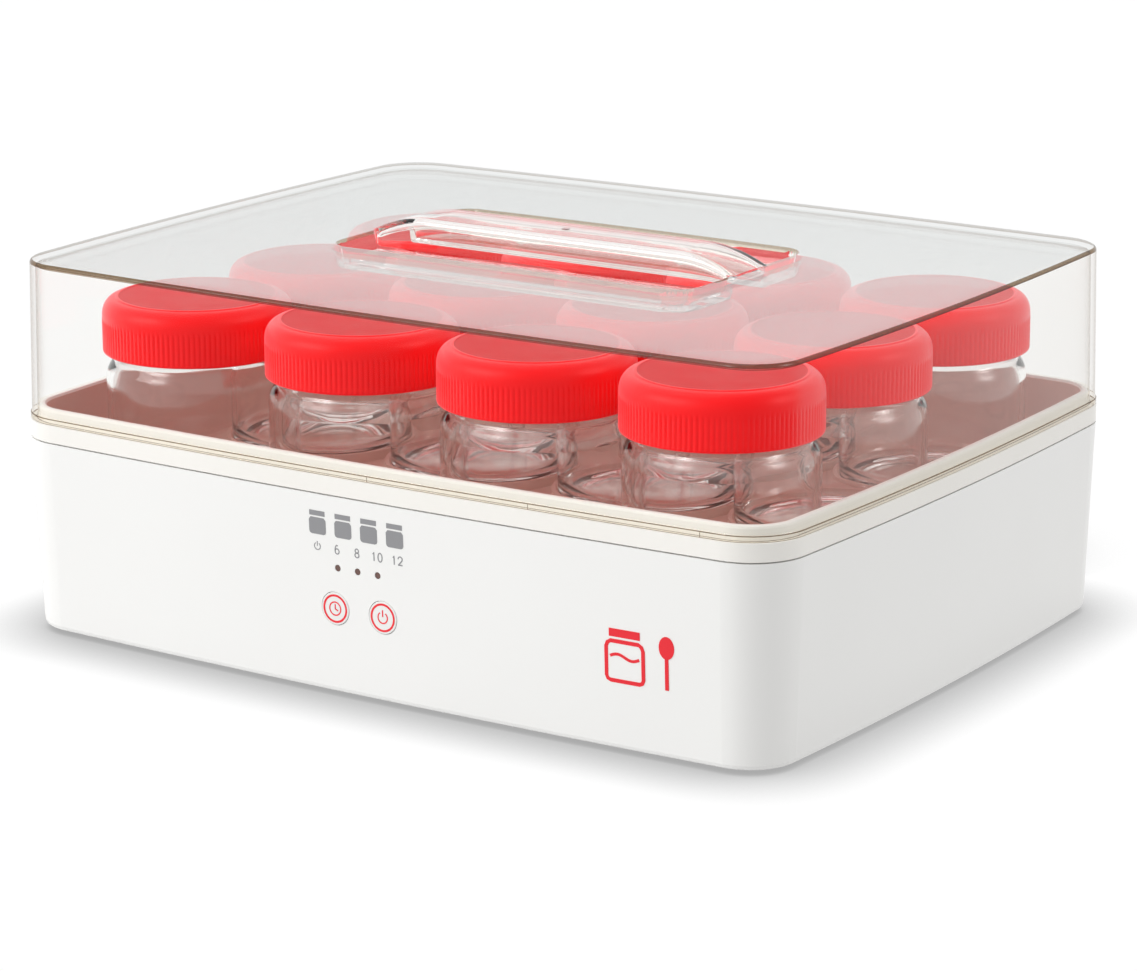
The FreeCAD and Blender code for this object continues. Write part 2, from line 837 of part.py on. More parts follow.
def make_lid():
    lid = new_body("lid")
    edge, wall, roof = dim.lid_edge, dim.lid_wall, dim.lid_high
    crown = roof + dim.lid_crown
    stack(lid, "LidShell", [
        (dim.lid_low, dim.lid_out_low),
        (roof - edge, 0.03),
        (roof - edge * 0.3, edge * -0.28),
        (roof, edge * -0.95),
    ])
    pad(lid, level(lid, "FlangeShape", dim.lid_low, dim.case_out_high),
        dim.lid_step - dim.lid_low, "Flange")

    # the roof rises to a low crown, outside and inside
    crown_scale, crown_in_scale, crown_top_scale = 0.97, 0.96, 0.58
    overlap = 0.02
    loft(lid, [
        level(lid, "CrownLow", roof - overlap, scale=crown_scale),
        level(lid, "CrownHigh", crown, scale=crown_top_scale),
    ], "Crown")
    stack(lid, "LidHollow", [
        (dim.lid_low - 1.0, dim.lid_out_low - wall + 0.02),
        (roof - wall - 1.0, -wall),
        (roof - wall, -wall - 1.0),
    ], cut=True)
    loft(lid, [
        level(lid, "CrownInLow", roof - wall - overlap, scale=crown_in_scale),
        level(lid, "CrownInHigh", crown - wall, scale=crown_top_scale),
    ], "CrownHollow", cut=True)

    # the sunken well: a tapered block under the top, hollowed from above
    loft(lid, [
        well_level(lid, "WellOutLow", dim.well_floor - 2.0, -0.6, 0.0),
        well_level(lid, "WellOutHigh", crown - 0.6, 1.8, 2.0),
    ], "WellBlock")
    loft(lid, [
        well_level(lid, "WellInLow", dim.well_floor, -2.4, -1.0),
        well_level(lid, "WellInHigh", crown + 1.0, 0.3, 0.3),
    ], "WellHollow", cut=True)
    grip_bar(lid)


# ---------------------------------------------------------------- jars and their screw caps
def make_jar(number, x, y):
    jar = new_body("jar_%02d" % number)
    rad, glass, neck = dim.jar_rad, dim.jar_glass, dim.neck_rad
    low, top = dim.jar_low, dim.jar_high
    turned(jar, "JarProfile%02d" % number, "Glass%02d" % number, [
        # underside and outer wall
        (0, low + 1.2), (rad - 9.0, low + 1.2), (rad - 7.6, low), (rad - 4.4, low),
        (rad - 1.6, low + 1.2), (rad, low + 4.2), (rad, low + 44.5),
        # shoulder, neck and mouth
        (rad - 0.5, low + 47.2), (rad - 1.6, low + 49.4), (neck + 0.25, low + 51.0),
        (neck, low + 52.6), (neck, top - 0.6), (neck - 0.6, top),
        (neck - glass + 0.5, top), (neck - glass, top - 0.5),
        # inner wall and floor
        (neck - glass, low + 52.2), (neck - glass + 0.4, low + 50.0),
        (rad - glass - 1.2, low + 46.6), (rad - glass, low + 43.0), (rad - glass, low + 8.0),
        (rad - glass - 1.5, low + 5.2), (rad - glass - 5.0, low + 3.9), (0, low + 3.5),
    ])
    cap_low = dim.cap_low
    lug = turned(jar, "JarLug%02d" % number, "Lug%02d" % number, [
        (neck - 0.6, cap_low + 7.0), (neck + 1.7, cap_low + 7.6),
        (neck + 1.7, cap_low + 9.0), (neck - 0.6, cap_low + 9.8),
    ], angle=36.0, midplane=True)
    four_around(jar, lug, "Lugs%02d" % number)
    place(jar, (x, y, 0))


def make_cap(number, x, y):
    cap = new_body("jar_cap_%02d" % number)
    rad, top_rad = dim.cap_rad, dim.cap_top_rad
    low, top = dim.cap_low, dim.cap_high
    inner = rad - dim.cap_skin
    turned(cap, "CapProfile%02d" % number, "CapSkin%02d" % number, [
        # top and outer wall
        (0, top), (top_rad, top), (top_rad + 0.35, top - 0.45), (top_rad + 2.0, top - 0.65),
        (top_rad + 3.6, top - 1.5), (top_rad + 4.7, top - 2.9), (top_rad + 5.3, top - 4.6),
        (rad - 0.05, top - 6.8), (rad, low + 0.5), (rad - 0.5, low),
        # inner wall and underside of the top
        (inner, low), (inner, top - 6.0), (inner - 1.0, top - 3.6), (inner - 2.6, top - 2.3),
        (0, top - 2.3),
    ])
    lug = turned(cap, "CapLug%02d" % number, "CapLugRing%02d" % number, [
        (dim.neck_rad + 0.4, low + 4.6), (inner + 0.4, low + 4.0),
        (inner + 0.4, low + 6.6), (dim.neck_rad + 0.4, low + 6.4),
    ], angle=30.0, midplane=True)
    four_around(cap, lug, "CapLugs%02d" % number)
    place(cap, (x, y, 0))


# ---------------------------------------------------------------- buttons and lenses
def make_button(label, x):
    button = new_body(label)
    cap_start, cap_long = 129.0, 4.15
    discs = [    # sketch, pad, radius, distance in front of the origin, length
        ("Face_", "Cap_", dim.button_rad, cap_start, cap_long),
        ("Flange_", "Flange_pad_", dim.button_rad + 1.3, 128.2, 1.4),
        ("Stem_", "Stem_pad_", 2.2, 126.8, 2.0),
    ]
    for sketch_name, pad_name, radius, start, length in discs:
        round_pad(button, sketch_name + label, pad_name + label,
                  [([(x, dim.button_z)], radius)], start, length, "XZ_Plane")
    doc.recompute()
    face_edges = edges_in_plane(button, "Y", -(cap_start + cap_long))
    fillet(button, face_edges, dim.button_edge_rad, "Edge_" + label)


def make_lenses():
    lens_y = -128.0
    stepped_rods("indicator_lenses", "lens", at_depth(lens_places, lens_y), FRONT, [
        ("tip", dim.lens_rad, 5.4, 0),
        ("collar", dim.lens_rad + 0.7, 1.2, 0),
    ])


# ---------------------------------------------------------------- circuit boards
CONTACT_GAP = 0.02     # between a board and what stands on it


def make_control_board():
    """The upright board behind the front wall, with what it carries."""
    front, back = dim.board_y, dim.board_y + dim.board_thick
    board = block("board",
                  (dim.board_wide, dim.board_thick, dim.board_high - dim.board_low),
                  (dim.board_x - dim.board_wide / 2, front, dim.board_low))
    keep(drill("board", board, dim.board_hole_rad, 5.0,
               at_depth(board_screws, front + 3.0), FRONT), "control_board")
    keep(block("mcu", (10.0, 1.7, 10.0), (-8.0, back + CONTACT_GAP, 28.0)), "microcontroller")

    # a switch behind each button
    side, deep = 6.0, 3.4
    pieces = []
    for i, x in enumerate(button_xs.values()):
        pieces.append(fuse("tact%d" % i, [
            block("tact_body%d" % i, (side, deep, side),
                  (x - side / 2, front - (deep + CONTACT_GAP), dim.button_z - side / 2)),
            rod("tact_stem%d" % i, 1.7, 1.2, (x, front - 3.0, dim.button_z), FRONT),
        ]))
    keep_group("tact_switches", pieces)
    stepped_rods("indicator_leds", "led", at_depth(lens_places, front - CONTACT_GAP), FRONT, [
        ("foot", 1.75, 1.0, 0),
        ("bulb", 1.45, 4.6, 0),
    ])
    stepped_rods("control_board_screws", "bscrew", at_depth(board_screws, back), FRONT, [
        ("head", 2.7, 1.8, -1.85),
        ("shank", 1.25, 7.6, -1.0),
    ])


def make_power_board():
    """The flat board on the base plate's standoffs, with what it carries."""
    x, y, z = dim.power_x, dim.power_y, dim.power_low
    board = block("pboard", (dim.power_wide, dim.power_deep, dim.board_thick),
                  (x - dim.power_wide / 2, y - dim.power_deep / 2, z))
    keep(drill("pboard", board, dim.board_hole_rad, 5.0,
               at_height(power_screws, z - 1.0), UP), "power_board")
    stepped_rods("power_board_screws", "pscrew", at_height(power_screws, z), UP, [
        ("head", 2.7, 1.8, dim.board_thick + 0.05),
        ("shank", 1.25, 6.6, -4.8),
    ])
    top = z + dim.board_thick + CONTACT_GAP
    keep(block("relay", (19.0, 15.2, 15.4), (x - 36.0, y - 8.0, top)), "power_relay")
    keep(block("film", (18.0, 8.4, 14.0), (x - 8.0, y - 20.0, top)), "film_capacitor")
    keep(rod("can", 5.0, 16.0, (x + 4.0, y + 6.0, top), UP), "filter_capacitor")
    terminal = block("term", (22.0, 10.0, 13.0), (x + 17.0, y + 8.0, top))
    first_hole, hole_pitch = x + 21.7, 6.3
    holes = [(first_hole + hole_pitch * i, y + 13.0, top + 5.0) for i in range(3)]
    keep(drill("term", terminal, 2.0, 9.0, holes, UP), "terminal_block")


# ---------------------------------------------------------------- heater under the tray floor
def make_spreader():
    plate = new_body("heat_spreader_plate")
    low = dim.spreader_low
    corner_rad, boss_hole_rad, notch_rad = 14.0, 3.7, 6.0
    sketch = new_sketch(plate, "SpreaderShape", lift=low)
    round_rect(sketch, dim.spreader_wide / 2, dim.spreader_deep / 2, corner_rad)
    for x, y in strip_screws:
        circle(sketch, x, y, boss_hole_rad)
    pad(plate, sketch, dim.spreader_thick, "Spreader")
    # room for the tray's posts
    round_pocket(plate, "SpreaderNotches", "Notches", [(long_screws, notch_rad)], low - 1.0, 3.0)


def make_heating_cord():
    """The cord laid to and fro along X in seven rows, joined by half turns."""
    run, pitch = dim.heat_run, dim.heat_pitch
    last = 6
    rows = [(-run if i % 2 == 0 else run, pitch * (i - 3)) for i in range(last + 1)]
    quarter = math.pi / 2

    spine = doc.addObject("Sketcher::SketchObject", "HeatPath")
    place(spine, (0, 0, dim.heat_cord_z))
    for i, (start, y) in enumerate(rows):
        spine.addGeometry(line(start.value, y.value, -start.value, y.value), False)
        if i < last:
            first_angle = -quarter if i % 2 == 0 else quarter
            spine.addGeometry(arc(-start.value, y.value + pitch.value / 2, pitch.value / 2,
                                  first_angle, first_angle + 2 * quarter), False)
    for i, (start, y) in enumerate(rows):
        row, turn = 2 * i, 2 * i + 1
        pin(spine, row, START, start, y)
        pin(spine, row, END, -start, y)
        if i < last:
            # arcs run counterclockwise, so the left-hand turns are entered at their end
            near, far = (START, END) if i % 2 == 0 else (END, START)
            spine.addConstraint(Sketcher.Constraint("Coincident", turn, near, row, END))
            spine.addConstraint(Sketcher.Constraint("Coincident", turn, far, row + 2, START))
            constrain(spine, "DistanceX", ORIGIN + (turn, CENTRE), -start)

    ring = doc.addObject("Part::Circle", "HeatRing")
    bind(ring, "Radius", dim.heat_cord_rad)
    place(ring, (-run, pitch * -3, dim.heat_cord_z), Rotation(Vector(0, 0, 1), Vector(1, 0, 0)))
    doc.recompute()
    sweep = doc.addObject("Part::Sweep", "HeatSweep")
    sweep.Sections = [ring]
    sweep.Spine = (spine, ["Edge%d" % (i + 1) for i in range(2 * last + 1)])
    sweep.Solid = True
    sweep.Frenet = False
    keep(sweep, "heating_cord")


def make_strips():
    """Three bent strips that hold the cord up against the plate, and their screws."""
    wide, thick, half_long = 14.0, 0.8, 101.5
    low, rise = 47.6, 4.1
    tab_start, tab_long = 101.0, 10.0
    bends = [    # name, distance of its inner side from the middle, depth, low, height
        ("rise", half_long - thick, thick, low, rise),
        ("tab", tab_start, tab_long, low + rise - thick, thick),
    ]
    pieces = []
    for i, x in enumerate(strip_xs):
        left = x - wide / 2
        bits = [block("strip%d" % i, (wide, 2 * half_long, thick), (left, -half_long, low))]
        for end, side in enumerate((-1, 1)):
            for name, inner, deep, z, tall in bends:
                y = inner if side > 0 else -(inner + deep)
                bits.append(block("strip_%s%d_%d" % (name, i, end), (wide, deep, tall),
                                  (left, y, z)))
        holes = fuse("strip_holes%d" % i, [
            rod("strip_hole%d_%d" % (i, end), 1.8, 4.0, (x, dim.strip_screw_y * side, 49.0), UP)
            for end, side in enumerate((-1, 1))
        ])
        pieces.append(cut("strip%d" % i, fuse("strip%d" % i, bits), holes))
    keep_group("heater_strips", pieces)
    stepped_rods("heater_screws", "hscrew", at_height(strip_screws, 0), UP, [
        ("head", 3.2, 1.6, 49.25),
        ("shank", 1.4, 5.4, 48.7),
    ])


def make_sensors():
    """Sensor and thermal cut-off, both along X, each under a saddle clip."""
    z = dim.heat_cord_z
    sensor_rad, bore_rad = 1.6, 1.75
    sensor_y, cutoff_y = -14.0, 14.0
    keep(rod("ntc", sensor_rad, 9.0, (26.0, sensor_y, z), RIGHT), "thermistor")
    keep(rod("cutoff", sensor_rad, 11.0, (-44.0, cutoff_y, z), RIGHT), "thermal_fuse")
    wide = 4.0
    pieces = []
    for i, (x, y) in enumerate(((28.0, sensor_y), (-41.0, cutoff_y))):
        solid = fuse("clip_solid%d" % i, [
            block("clip_block%d" % i, (wide, 7.0, 3.4), (x, y - 3.5, 48.0)),
            block("clip_wings%d" % i, (wide, 15.0, 0.6), (x, y - 7.5, 51.25)),
        ])
        room = fuse("clip_room%d" % i, [
            rod("clip_bore%d" % i, bore_rad, wide + 2.0, (x - 1.0, y, z), RIGHT),
            block("clip_throat%d" % i, (wide + 2.0, 2 * bore_rad, 2.5),
                  (x - 1.0, y - bore_rad, z)),
        ])
        pieces.append(cut("clip%d" % i, solid, room))
    keep_group("sensor_clips", pieces)


# ---------------------------------------------------------------- case screws and feet
def make_case_screws():
    for kind, points, length in (("long", long_screws, 42.0), ("short", short_screws, 14.0)):
        stepped_rods("case_screws_" + kind, kind, at_height(points, dim.case_bottom), UP, [
            ("head", 3.1, 1.2, 0.05),
            ("shank", 1.5, length, 0.5),
        ])


def make_feet():
    keep_group("rubber_feet", [
        rod("foot%d" % i, dim.foot_rad, dim.foot_tall, at, UP)
        for i, at in enumerate(at_height(feet, 0.0))
    ])


# ---------------------------------------------------------------- mains cord, plug and wires
def make_bush():
    """Bush in the back wall, turned about the cord's axis."""
    bush = new_body("cord_strain_relief")
    z = dim.inlet_z
    bore = dim.cord_rad + 0.15
    sketch = new_sketch(bush, "BushProfile", "YZ_Plane", lift=dim.inlet_x)
    polygon(sketch, [    # (y, z), upper half section
        (124.0, z + bore), (124.0, z + 7.0), (126.6, z + 7.0), (126.6, z + 5.0),
        (132.5, z + 5.0), (132.5, z + 7.2), (135.0, z + 7.2), (136.5, z + 5.6),
        (156.0, z + 4.4), (156.0, z + bore),
    ])
    axis_start, axis_end = 120.0, 160.0
    axis = sketch.addGeometry(line(axis_start, z.value, axis_end, z.value), True)
    pin(sketch, axis, START, axis_start, z)
    pin(sketch, axis, END, axis_end, z)
    revolve(bush, sketch, "BushTurn", axis="Axis0")


def tube(points, radius, bend):
    """Round solid along straight runs joined by arcs of at most the bend radius."""
    points = [Vector(*p) for p in points]
    edges, at = [], points[0]
    for before, corner, after in zip(points, points[1:], points[2:]):
        arriving, leaving = corner - before, after - corner
        run_in, run_out = arriving.Length, leaving.Length
        arriving.normalize()
        leaving.normalize()
        half = math.acos(max(-1.0, min(1.0, arriving.dot(leaving)))) / 2
        reach = min(bend * math.tan(half), 0.46 * run_in, 0.46 * run_out)
        arc_start, arc_end = corner - arriving * reach, corner + leaving * reach
        inward = leaving - arriving
        inward.normalize()
        arc_rad = reach / math.tan(half)
        middle = corner + inward * (arc_rad / math.cos(half) - arc_rad)
        edges.append(Part.LineSegment(at, arc_start).toShape())
        edges.append(Part.Arc(arc_start, middle, arc_end).toShape())
        at = arc_end
    edges.append(Part.LineSegment(at, points[-1]).toShape())
    profile = Part.Circle(points[0], points[1] - points[0], radius).toShape()
    return Part.Wire(edges).makePipe(Part.Face(Part.Wire([profile])))


# The cord leaves the bush level, bends down to the table and lies there in a loose bundle
# behind the casing; its end rises to the plug.
CORD_X, CORD_Z, CORD_RAD = dim.inlet_x.value, dim.inlet_z.value, dim.cord_rad.value
TABLE_Z = CORD_RAD + 0.3
PLUG_Z = 9.2
CORD_PATH = [(CORD_X + dx, y, z) for dx, y, z in (    # x from the inlet, y, z
    (0, 106, CORD_Z), (0, 169, CORD_Z), (0, 188, TABLE_Z), (-4, 203, TABLE_Z),
    (-22, 213, TABLE_Z), (-232, 213, TABLE_Z), (-249, 203.5, TABLE_Z), (-249, 177.5, TABLE_Z),
    (-232, 168, TABLE_Z), (-66, 168, TABLE_Z), (-54, 175, TABLE_Z), (-54, 186.5, TABLE_Z),
    (-66, 193.5, TABLE_Z), (-126, 193.5, TABLE_Z), (-152, 193.5, PLUG_Z), (-172, 193.5, PLUG_Z),
)]


def make_plug():
    """The plug at the end of the cord, flattened underneath, and its two pins."""
    end = Vector(*CORD_PATH[-1])
    away = end - Vector(*CORD_PATH[-2])
    away.normalize()
    side = away.cross(Vector(0, 0, 1))
    side.normalize()
    neck_rad, plug_rad = 4.6, 9.0
    neck_long, grip_long = 16.0, 20.0
    grip_start = 14.9
    flat_z = 0.2
    pin_rad, pin_long, pin_deep, pin_offset = 2.0, 25.0, 6.9, 5.2
    socket_rad, socket_long, socket_deep = 2.02, 8.0, 7.0

    plug = Part.makeCone(neck_rad, plug_rad, neck_long, end - away * 1.0, away)
    plug = plug.fuse(Part.makeCylinder(plug_rad, grip_long, end + away * grip_start, away))
    plug = plug.cut(Part.makeCylinder(CORD_RAD + 0.12, 6.0, end - away * 5.5, away))
    below = Part.makeBox(80, 80, 40, Vector(end.x - 60, end.y - 40, -40 + flat_z))
    plug = plug.cut(below)
    face = end + away * (grip_start + grip_long)
    pins = []
    for offset in (-pin_offset, pin_offset):
        centre = face + side * offset
        plug = plug.cut(
            Part.makeCylinder(socket_rad, socket_long, centre - away * socket_deep, away))
        pins.append(Part.makeCylinder(pin_rad, pin_long, centre - away * pin_deep, away))
    keep_shape("power_plug", plug)
    keep_shape("plug_pins", Part.makeCompound(pins))


def make_clamp():
    """Bored block round the cord, just inside the back wall."""
    jaw = block("jaw", (18.0, 7.0, 13.2), (dim.inlet_x - 9.5, 113.6, 10.9))
    bore = rod("jaw_bore", dim.cord_rad + 0.2, 12.0, (dim.inlet_x, 111.0, dim.inlet_z), BACK)
    keep(cut("jaw", jaw, bore), "cord_clamp")


# Wire bundles from the power board, as (x, y, z) along each run.
BOARD_HARNESS = [
    (6, -119.0, 24), (8, -110, 22), (20, -90, 18), (44, -40, 15), (54, 10, 16),
    (56.0, 34.0, 20), (57, 42, 24), (61.5, 46.0, 25), (66.5, 46.0, 23.5), (66.5, 46.0, 13.85),
]
HEATER_LEADS = [
    (-130.5, -84, 50.1), (-140, -84, 48), (-146, -76, 40), (-140, -40, 20), (-100, 0, 14),
    (-20, 34, 14), (34, 60, 18), (49, 82, 24), (60.0, 86.0, 24), (60.0, 86.0, 13.85),
]

# ---------------------------------------------------------------- build
make_casing()
make_base_plate()
make_tray()
make_lid()
for number, (x, y) in enumerate(jar_places, start=1):
    make_jar(number, x, y)
    make_cap(number, x, y)
for label, x in button_xs.items():
    make_button(label, x)
make_lenses()
make_control_board()
make_power_board()
make_spreader()
make_heating_cord()
make_strips()
make_sensors()
make_case_screws()
make_feet()
make_bush()
keep_shape("power_cord", tube(CORD_PATH, CORD_RAD, bend=40.0))
make_plug()
make_clamp()
keep_shape("board_harness", tube(BOARD_HARNESS, 1.5, bend=9.0))
keep_shape("heater_leads", tube(HEATER_LEADS, 1.4, bend=9.0))

# ---------------------------------------------------------------- checks and export
doc.recompute()
bad = [o.Label for o in doc.Objects if any(word in ("Invalid", "Error") for word in o.State)]
if bad:
    raise RuntimeError("failed objects: %s" % bad)
if len({part.Label for part in PARTS}) != len(PARTS):
    raise RuntimeError("two parts share a label")
for part in PARTS:
    if part.Shape.isNull() or not part.Shape.isValid() or not part.Shape.Solids:
        raise RuntimeError("bad shape: " + part.Label)
for old in os.listdir("parts"):
    if old.endswith(".step"):
        os.remove(os.path.join("parts", old))
for part in PARTS:
    part.Shape.exportStep(os.path.join("parts", part.Label + ".step"))
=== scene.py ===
"""Heated base with twelve capped glass jars under a clear lid.

It stands on Z = 0, centred on the Z axis. The width runs along X, the front faces -Y, and right
is +X. Shapes are given in millimetres and turned into metres by MM; the studio and the camera
are in metres.
"""
import math

import bmesh
import bpy
import numpy as np
from mathutils import Matrix, Vector

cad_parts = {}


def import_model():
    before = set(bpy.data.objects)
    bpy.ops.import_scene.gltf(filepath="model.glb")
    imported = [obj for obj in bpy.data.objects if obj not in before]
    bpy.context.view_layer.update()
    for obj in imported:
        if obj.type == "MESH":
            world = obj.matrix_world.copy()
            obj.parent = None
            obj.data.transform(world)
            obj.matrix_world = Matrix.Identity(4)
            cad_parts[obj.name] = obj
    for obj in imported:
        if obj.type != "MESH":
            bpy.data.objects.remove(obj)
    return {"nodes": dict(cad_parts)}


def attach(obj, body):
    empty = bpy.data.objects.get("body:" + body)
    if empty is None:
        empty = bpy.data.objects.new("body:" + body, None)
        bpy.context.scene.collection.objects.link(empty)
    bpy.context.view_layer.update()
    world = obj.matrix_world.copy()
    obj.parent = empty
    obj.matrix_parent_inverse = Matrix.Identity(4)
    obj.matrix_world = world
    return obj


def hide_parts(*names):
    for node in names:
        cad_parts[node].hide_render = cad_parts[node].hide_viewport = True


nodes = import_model()["nodes"]
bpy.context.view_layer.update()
scene = bpy.context.scene
MM = 0.001

# ------------------------------------------------------------------ main dimensions, millimetres
# Plan outline: a rectangle with bowed sides and round corners
HALF_WIDTH, HALF_DEPTH = 172.5, 132.72
FRONT_R, SIDE_R, CORNER_R = 3610.0, 2040.0, 20.4
FRONT_CENTRE = FRONT_R - HALF_DEPTH     # how far each bow's centre lies beyond the middle
SIDE_CENTRE = SIDE_R - HALF_WIDTH
FRONT_STEPS, SIDE_STEPS, CORNER_STEPS = 400, 320, 60

# Casing wall: growth of the outline at its foot, and how much more it grows over its height
CASING_FOOT_Z, CASING_RISE = 2.0, 75.35
CASING_FOOT_GROWTH, CASING_FLARE = -0.86, 2.63

# Jars, in a grid of four columns and three rows
JAR_PITCH_X, JAR_PITCH_Y = 79.03, 78.64
JAR_COLUMNS, JAR_ROWS = 4, 3
JAR_LOW, JAR_HIGH, JAR_R, JAR_WALL, NECK_R = 55.2, 127.9, 35.8, 2.5, 32.6
JAR_SEGMENTS = 144

# Jar caps
CAP_LOW, CAP_HIGH, CAP_R, CAP_TOP_R = 108.9, 130.4, 36.86, 31.2
FLUTES, FLUTE_STEPS, FLUTE_DEPTH = 116, 5, 0.36
LUG_COUNT, LUG_STEPS = 4, 10

# Lid: walls, flange, sunken well and the grip bar that crosses the well along X
LID_LOW, LID_STEP, LID_HIGH, LID_WALL = 84.8, 87.2, 146.8, 2.1
LID_EDGE_R, LID_INNER_EDGE_R = 1.5, 1.0
LID_TOP_GROWTH, LID_FOOT_GROWTH, FLANGE_GROWTH = 0.03, 1.3, 1.77
CROWN_RISE, CROWN_X, CROWN_Y = 1.85, 171.5, 131.8
WELL_X, WELL_Y, WELL_R, WELL_FLOOR = 81.7, 45.4, 11.0, 141.3
BAR_Y, BAR_TOP = 12.8, 155.3
INNER_INSET = 2.05                      # how far the inner skin sits inside the outer one


# ------------------------------------------------------------------ plan outline
def corner_centre():
    """Centre of the back right corner circle, which touches both bows, by Newton's method."""
    x, y = HALF_WIDTH - CORNER_R, HALF_DEPTH - CORNER_R
    for _ in range(60):
        front_dist = math.hypot(x, y + FRONT_CENTRE)
        side_dist = math.hypot(x + SIDE_CENTRE, y)
        front_miss = front_dist - (FRONT_R - CORNER_R)
        side_miss = side_dist - (SIDE_R - CORNER_R)
        front_dx, front_dy = x / front_dist, (y + FRONT_CENTRE) / front_dist
        side_dx, side_dy = (x + SIDE_CENTRE) / side_dist, y / side_dist
        det = front_dx * side_dy - front_dy * side_dx
        x -= (front_miss * side_dy - side_miss * front_dy) / det
        y -= (side_miss * front_dx - front_miss * side_dx) / det
    return x, y


CORNER_X, CORNER_Y = corner_centre()
FRONT_HALF_ANGLE = math.atan2(CORNER_X, CORNER_Y + FRONT_CENTRE)
SIDE_HALF_ANGLE = math.atan2(CORNER_Y, CORNER_X + SIDE_CENTRE)
ARC_STEPS = [FRONT_STEPS, CORNER_STEPS, SIDE_STEPS, CORNER_STEPS] * 2


def outline(growth):
    """Points of the outline grown by growth, counter-clockwise from the front left corner."""
    quarter = math.pi / 2
    front, side = FRONT_HALF_ANGLE, SIDE_HALF_ANGLE
    # centre x, centre y, radius, start angle, end angle
    arcs = [
        (0, FRONT_CENTRE, FRONT_R, 3 * quarter - front, 3 * quarter + front),
        (CORNER_X, -CORNER_Y, CORNER_R, 3 * quarter + front, 4 * quarter - side),
        (-SIDE_CENTRE, 0, SIDE_R, -side, side),
        (CORNER_X, CORNER_Y, CORNER_R, side, quarter - front),
        (0, -FRONT_CENTRE, FRONT_R, quarter - front, quarter + front),
        (-CORNER_X, CORNER_Y, CORNER_R, quarter + front, 2 * quarter - side),
        (SIDE_CENTRE, 0, SIDE_R, 2 * quarter - side, 2 * quarter + side),
        (-CORNER_X, -CORNER_Y, CORNER_R, 2 * quarter + side, 3 * quarter - front),
    ]
    points = []
    for (x, y, radius, start, end), steps in zip(arcs, ARC_STEPS):
        angle = start + (end - start) * np.arange(steps) / steps
        reach = radius + growth
        points.append(np.stack([x + reach * np.cos(angle), y + reach * np.sin(angle)], 1))
    return np.concatenate(points)


def front_y(x, growth):
    """The front bow's y at x, on the outline grown by growth."""
    radius = FRONT_R + growth
    return FRONT_CENTRE - math.sqrt(radius * radius - x * x)


def ease(t):
    """Smooth step from 0 to 1."""
    t = np.clip(t, 0.0, 1.0)
    return t * t * (3 - 2 * t)


# ------------------------------------------------------------------ mesh helpers
def shade_smooth(mesh, angle):
    """Smooth faces, with edges sharper than angle (degrees) kept sharp."""
    mesh.polygons.foreach_set("use_smooth", [True] * len(mesh.polygons))
    mesh.set_sharp_from_angle(angle=math.radians(angle))
    mesh.update()


def face_outward(mesh):
    bm = bmesh.new()
    bm.from_mesh(mesh)
    bmesh.ops.recalc_face_normals(bm, faces=bm.faces)
    bm.to_mesh(mesh)
    bm.free()
    mesh.update()


def make_mesh(name, verts, faces, angle, shade_again=True):
    """Smooth mesh from points in metres; shade_again marks sharp edges anew once it is turned."""
    mesh = bpy.data.meshes.new(name)
    mesh.from_pydata([tuple(v) for v in verts], [], [tuple(int(i) for i in f) for f in faces])
    mesh.validate()
    mesh.update()
    shade_smooth(mesh, angle)
    face_outward(mesh)
    if shade_again:
        shade_smooth(mesh, angle)
    return mesh


def prism_mesh(name, prisms, material):
    """Closed prisms; each is a loop of (back point, front point) pairs in millimetres."""
    bm = bmesh.new()
    for pairs in prisms:
        back, front = [], []
        for back_point, front_point in pairs:
            back.append(bm.verts.new([c * MM for c in back_point]))
            front.append(bm.verts.new([c * MM for c in front_point]))
        bm.faces.new(front)
        bm.faces.new(back[::-1])
        for i in range(len(front)):
            j = (i + 1) % len(front)
            bm.faces.new((front[i], back[i], back[j], front[j]))
    bmesh.ops.recalc_face_normals(bm, faces=bm.faces)
    mesh = bpy.data.meshes.new(name)
    bm.to_mesh(mesh)
    bm.free()
    mesh.materials.append(material)
    return mesh


def place(name, mesh, body, replaces=(), at=(0, 0, 0)):
    obj = bpy.data.objects.new(name, mesh)
    scene.collection.objects.link(obj)
    obj.matrix_world = Matrix.Translation(at)
    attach(obj, body)
    if replaces:
        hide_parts(*replaces)


def lathe(profile, segments, radius_at=None):
    """Turns an (r, z) profile about Z. It starts and ends at r = 0, in a single vertex each.

    radius_at(k, r, z, s) may change the radius of profile point k at segment s.
    """
    verts, rings = [], []
    for k, (r, z) in enumerate(profile):
        if r <= 1e-9:
            rings.append((len(verts), True))
            verts.append((0.0, 0.0, z * MM))
            continue
        rings.append((len(verts), False))
        for s in range(segments):
            angle = 2 * math.pi * s / segments
            radius = radius_at(k, r, z, s) if radius_at else r
            verts.append((radius * math.cos(angle) * MM, radius * math.sin(angle) * MM, z * MM))
    faces = []
    for (a, a_is_pole), (b, b_is_pole) in zip(rings, rings[1:]):
        for s in range(segments):
            t = (s + 1) % segments
            if a_is_pole:
                faces.append((a, b + t, b + s))
            elif b_is_pole:
                faces.append((a + s, a + t, b))
            else:
                faces.append((a + s, a + t, b + t, b + s))
    return verts, faces


def oval_arc(cx, cz, half_width, half_height, angles):
    """Points on an oval at the given angles, in radians."""
    return [(cx + half_width * math.cos(a), cz + half_height * math.sin(a)) for a in angles]


def oval(cx, cz, half_width, half_height, count):
    angles = np.linspace(0, 2 * math.pi, count, endpoint=False)
    return oval_arc(cx, cz, half_width, half_height, angles)


def arc(cx, cz, radius, start, end, steps):
    """Points on a circle from start to end, in degrees, both included."""
    return oval_arc(cx, cz, radius, radius, np.radians(np.linspace(start, end, steps + 1)))


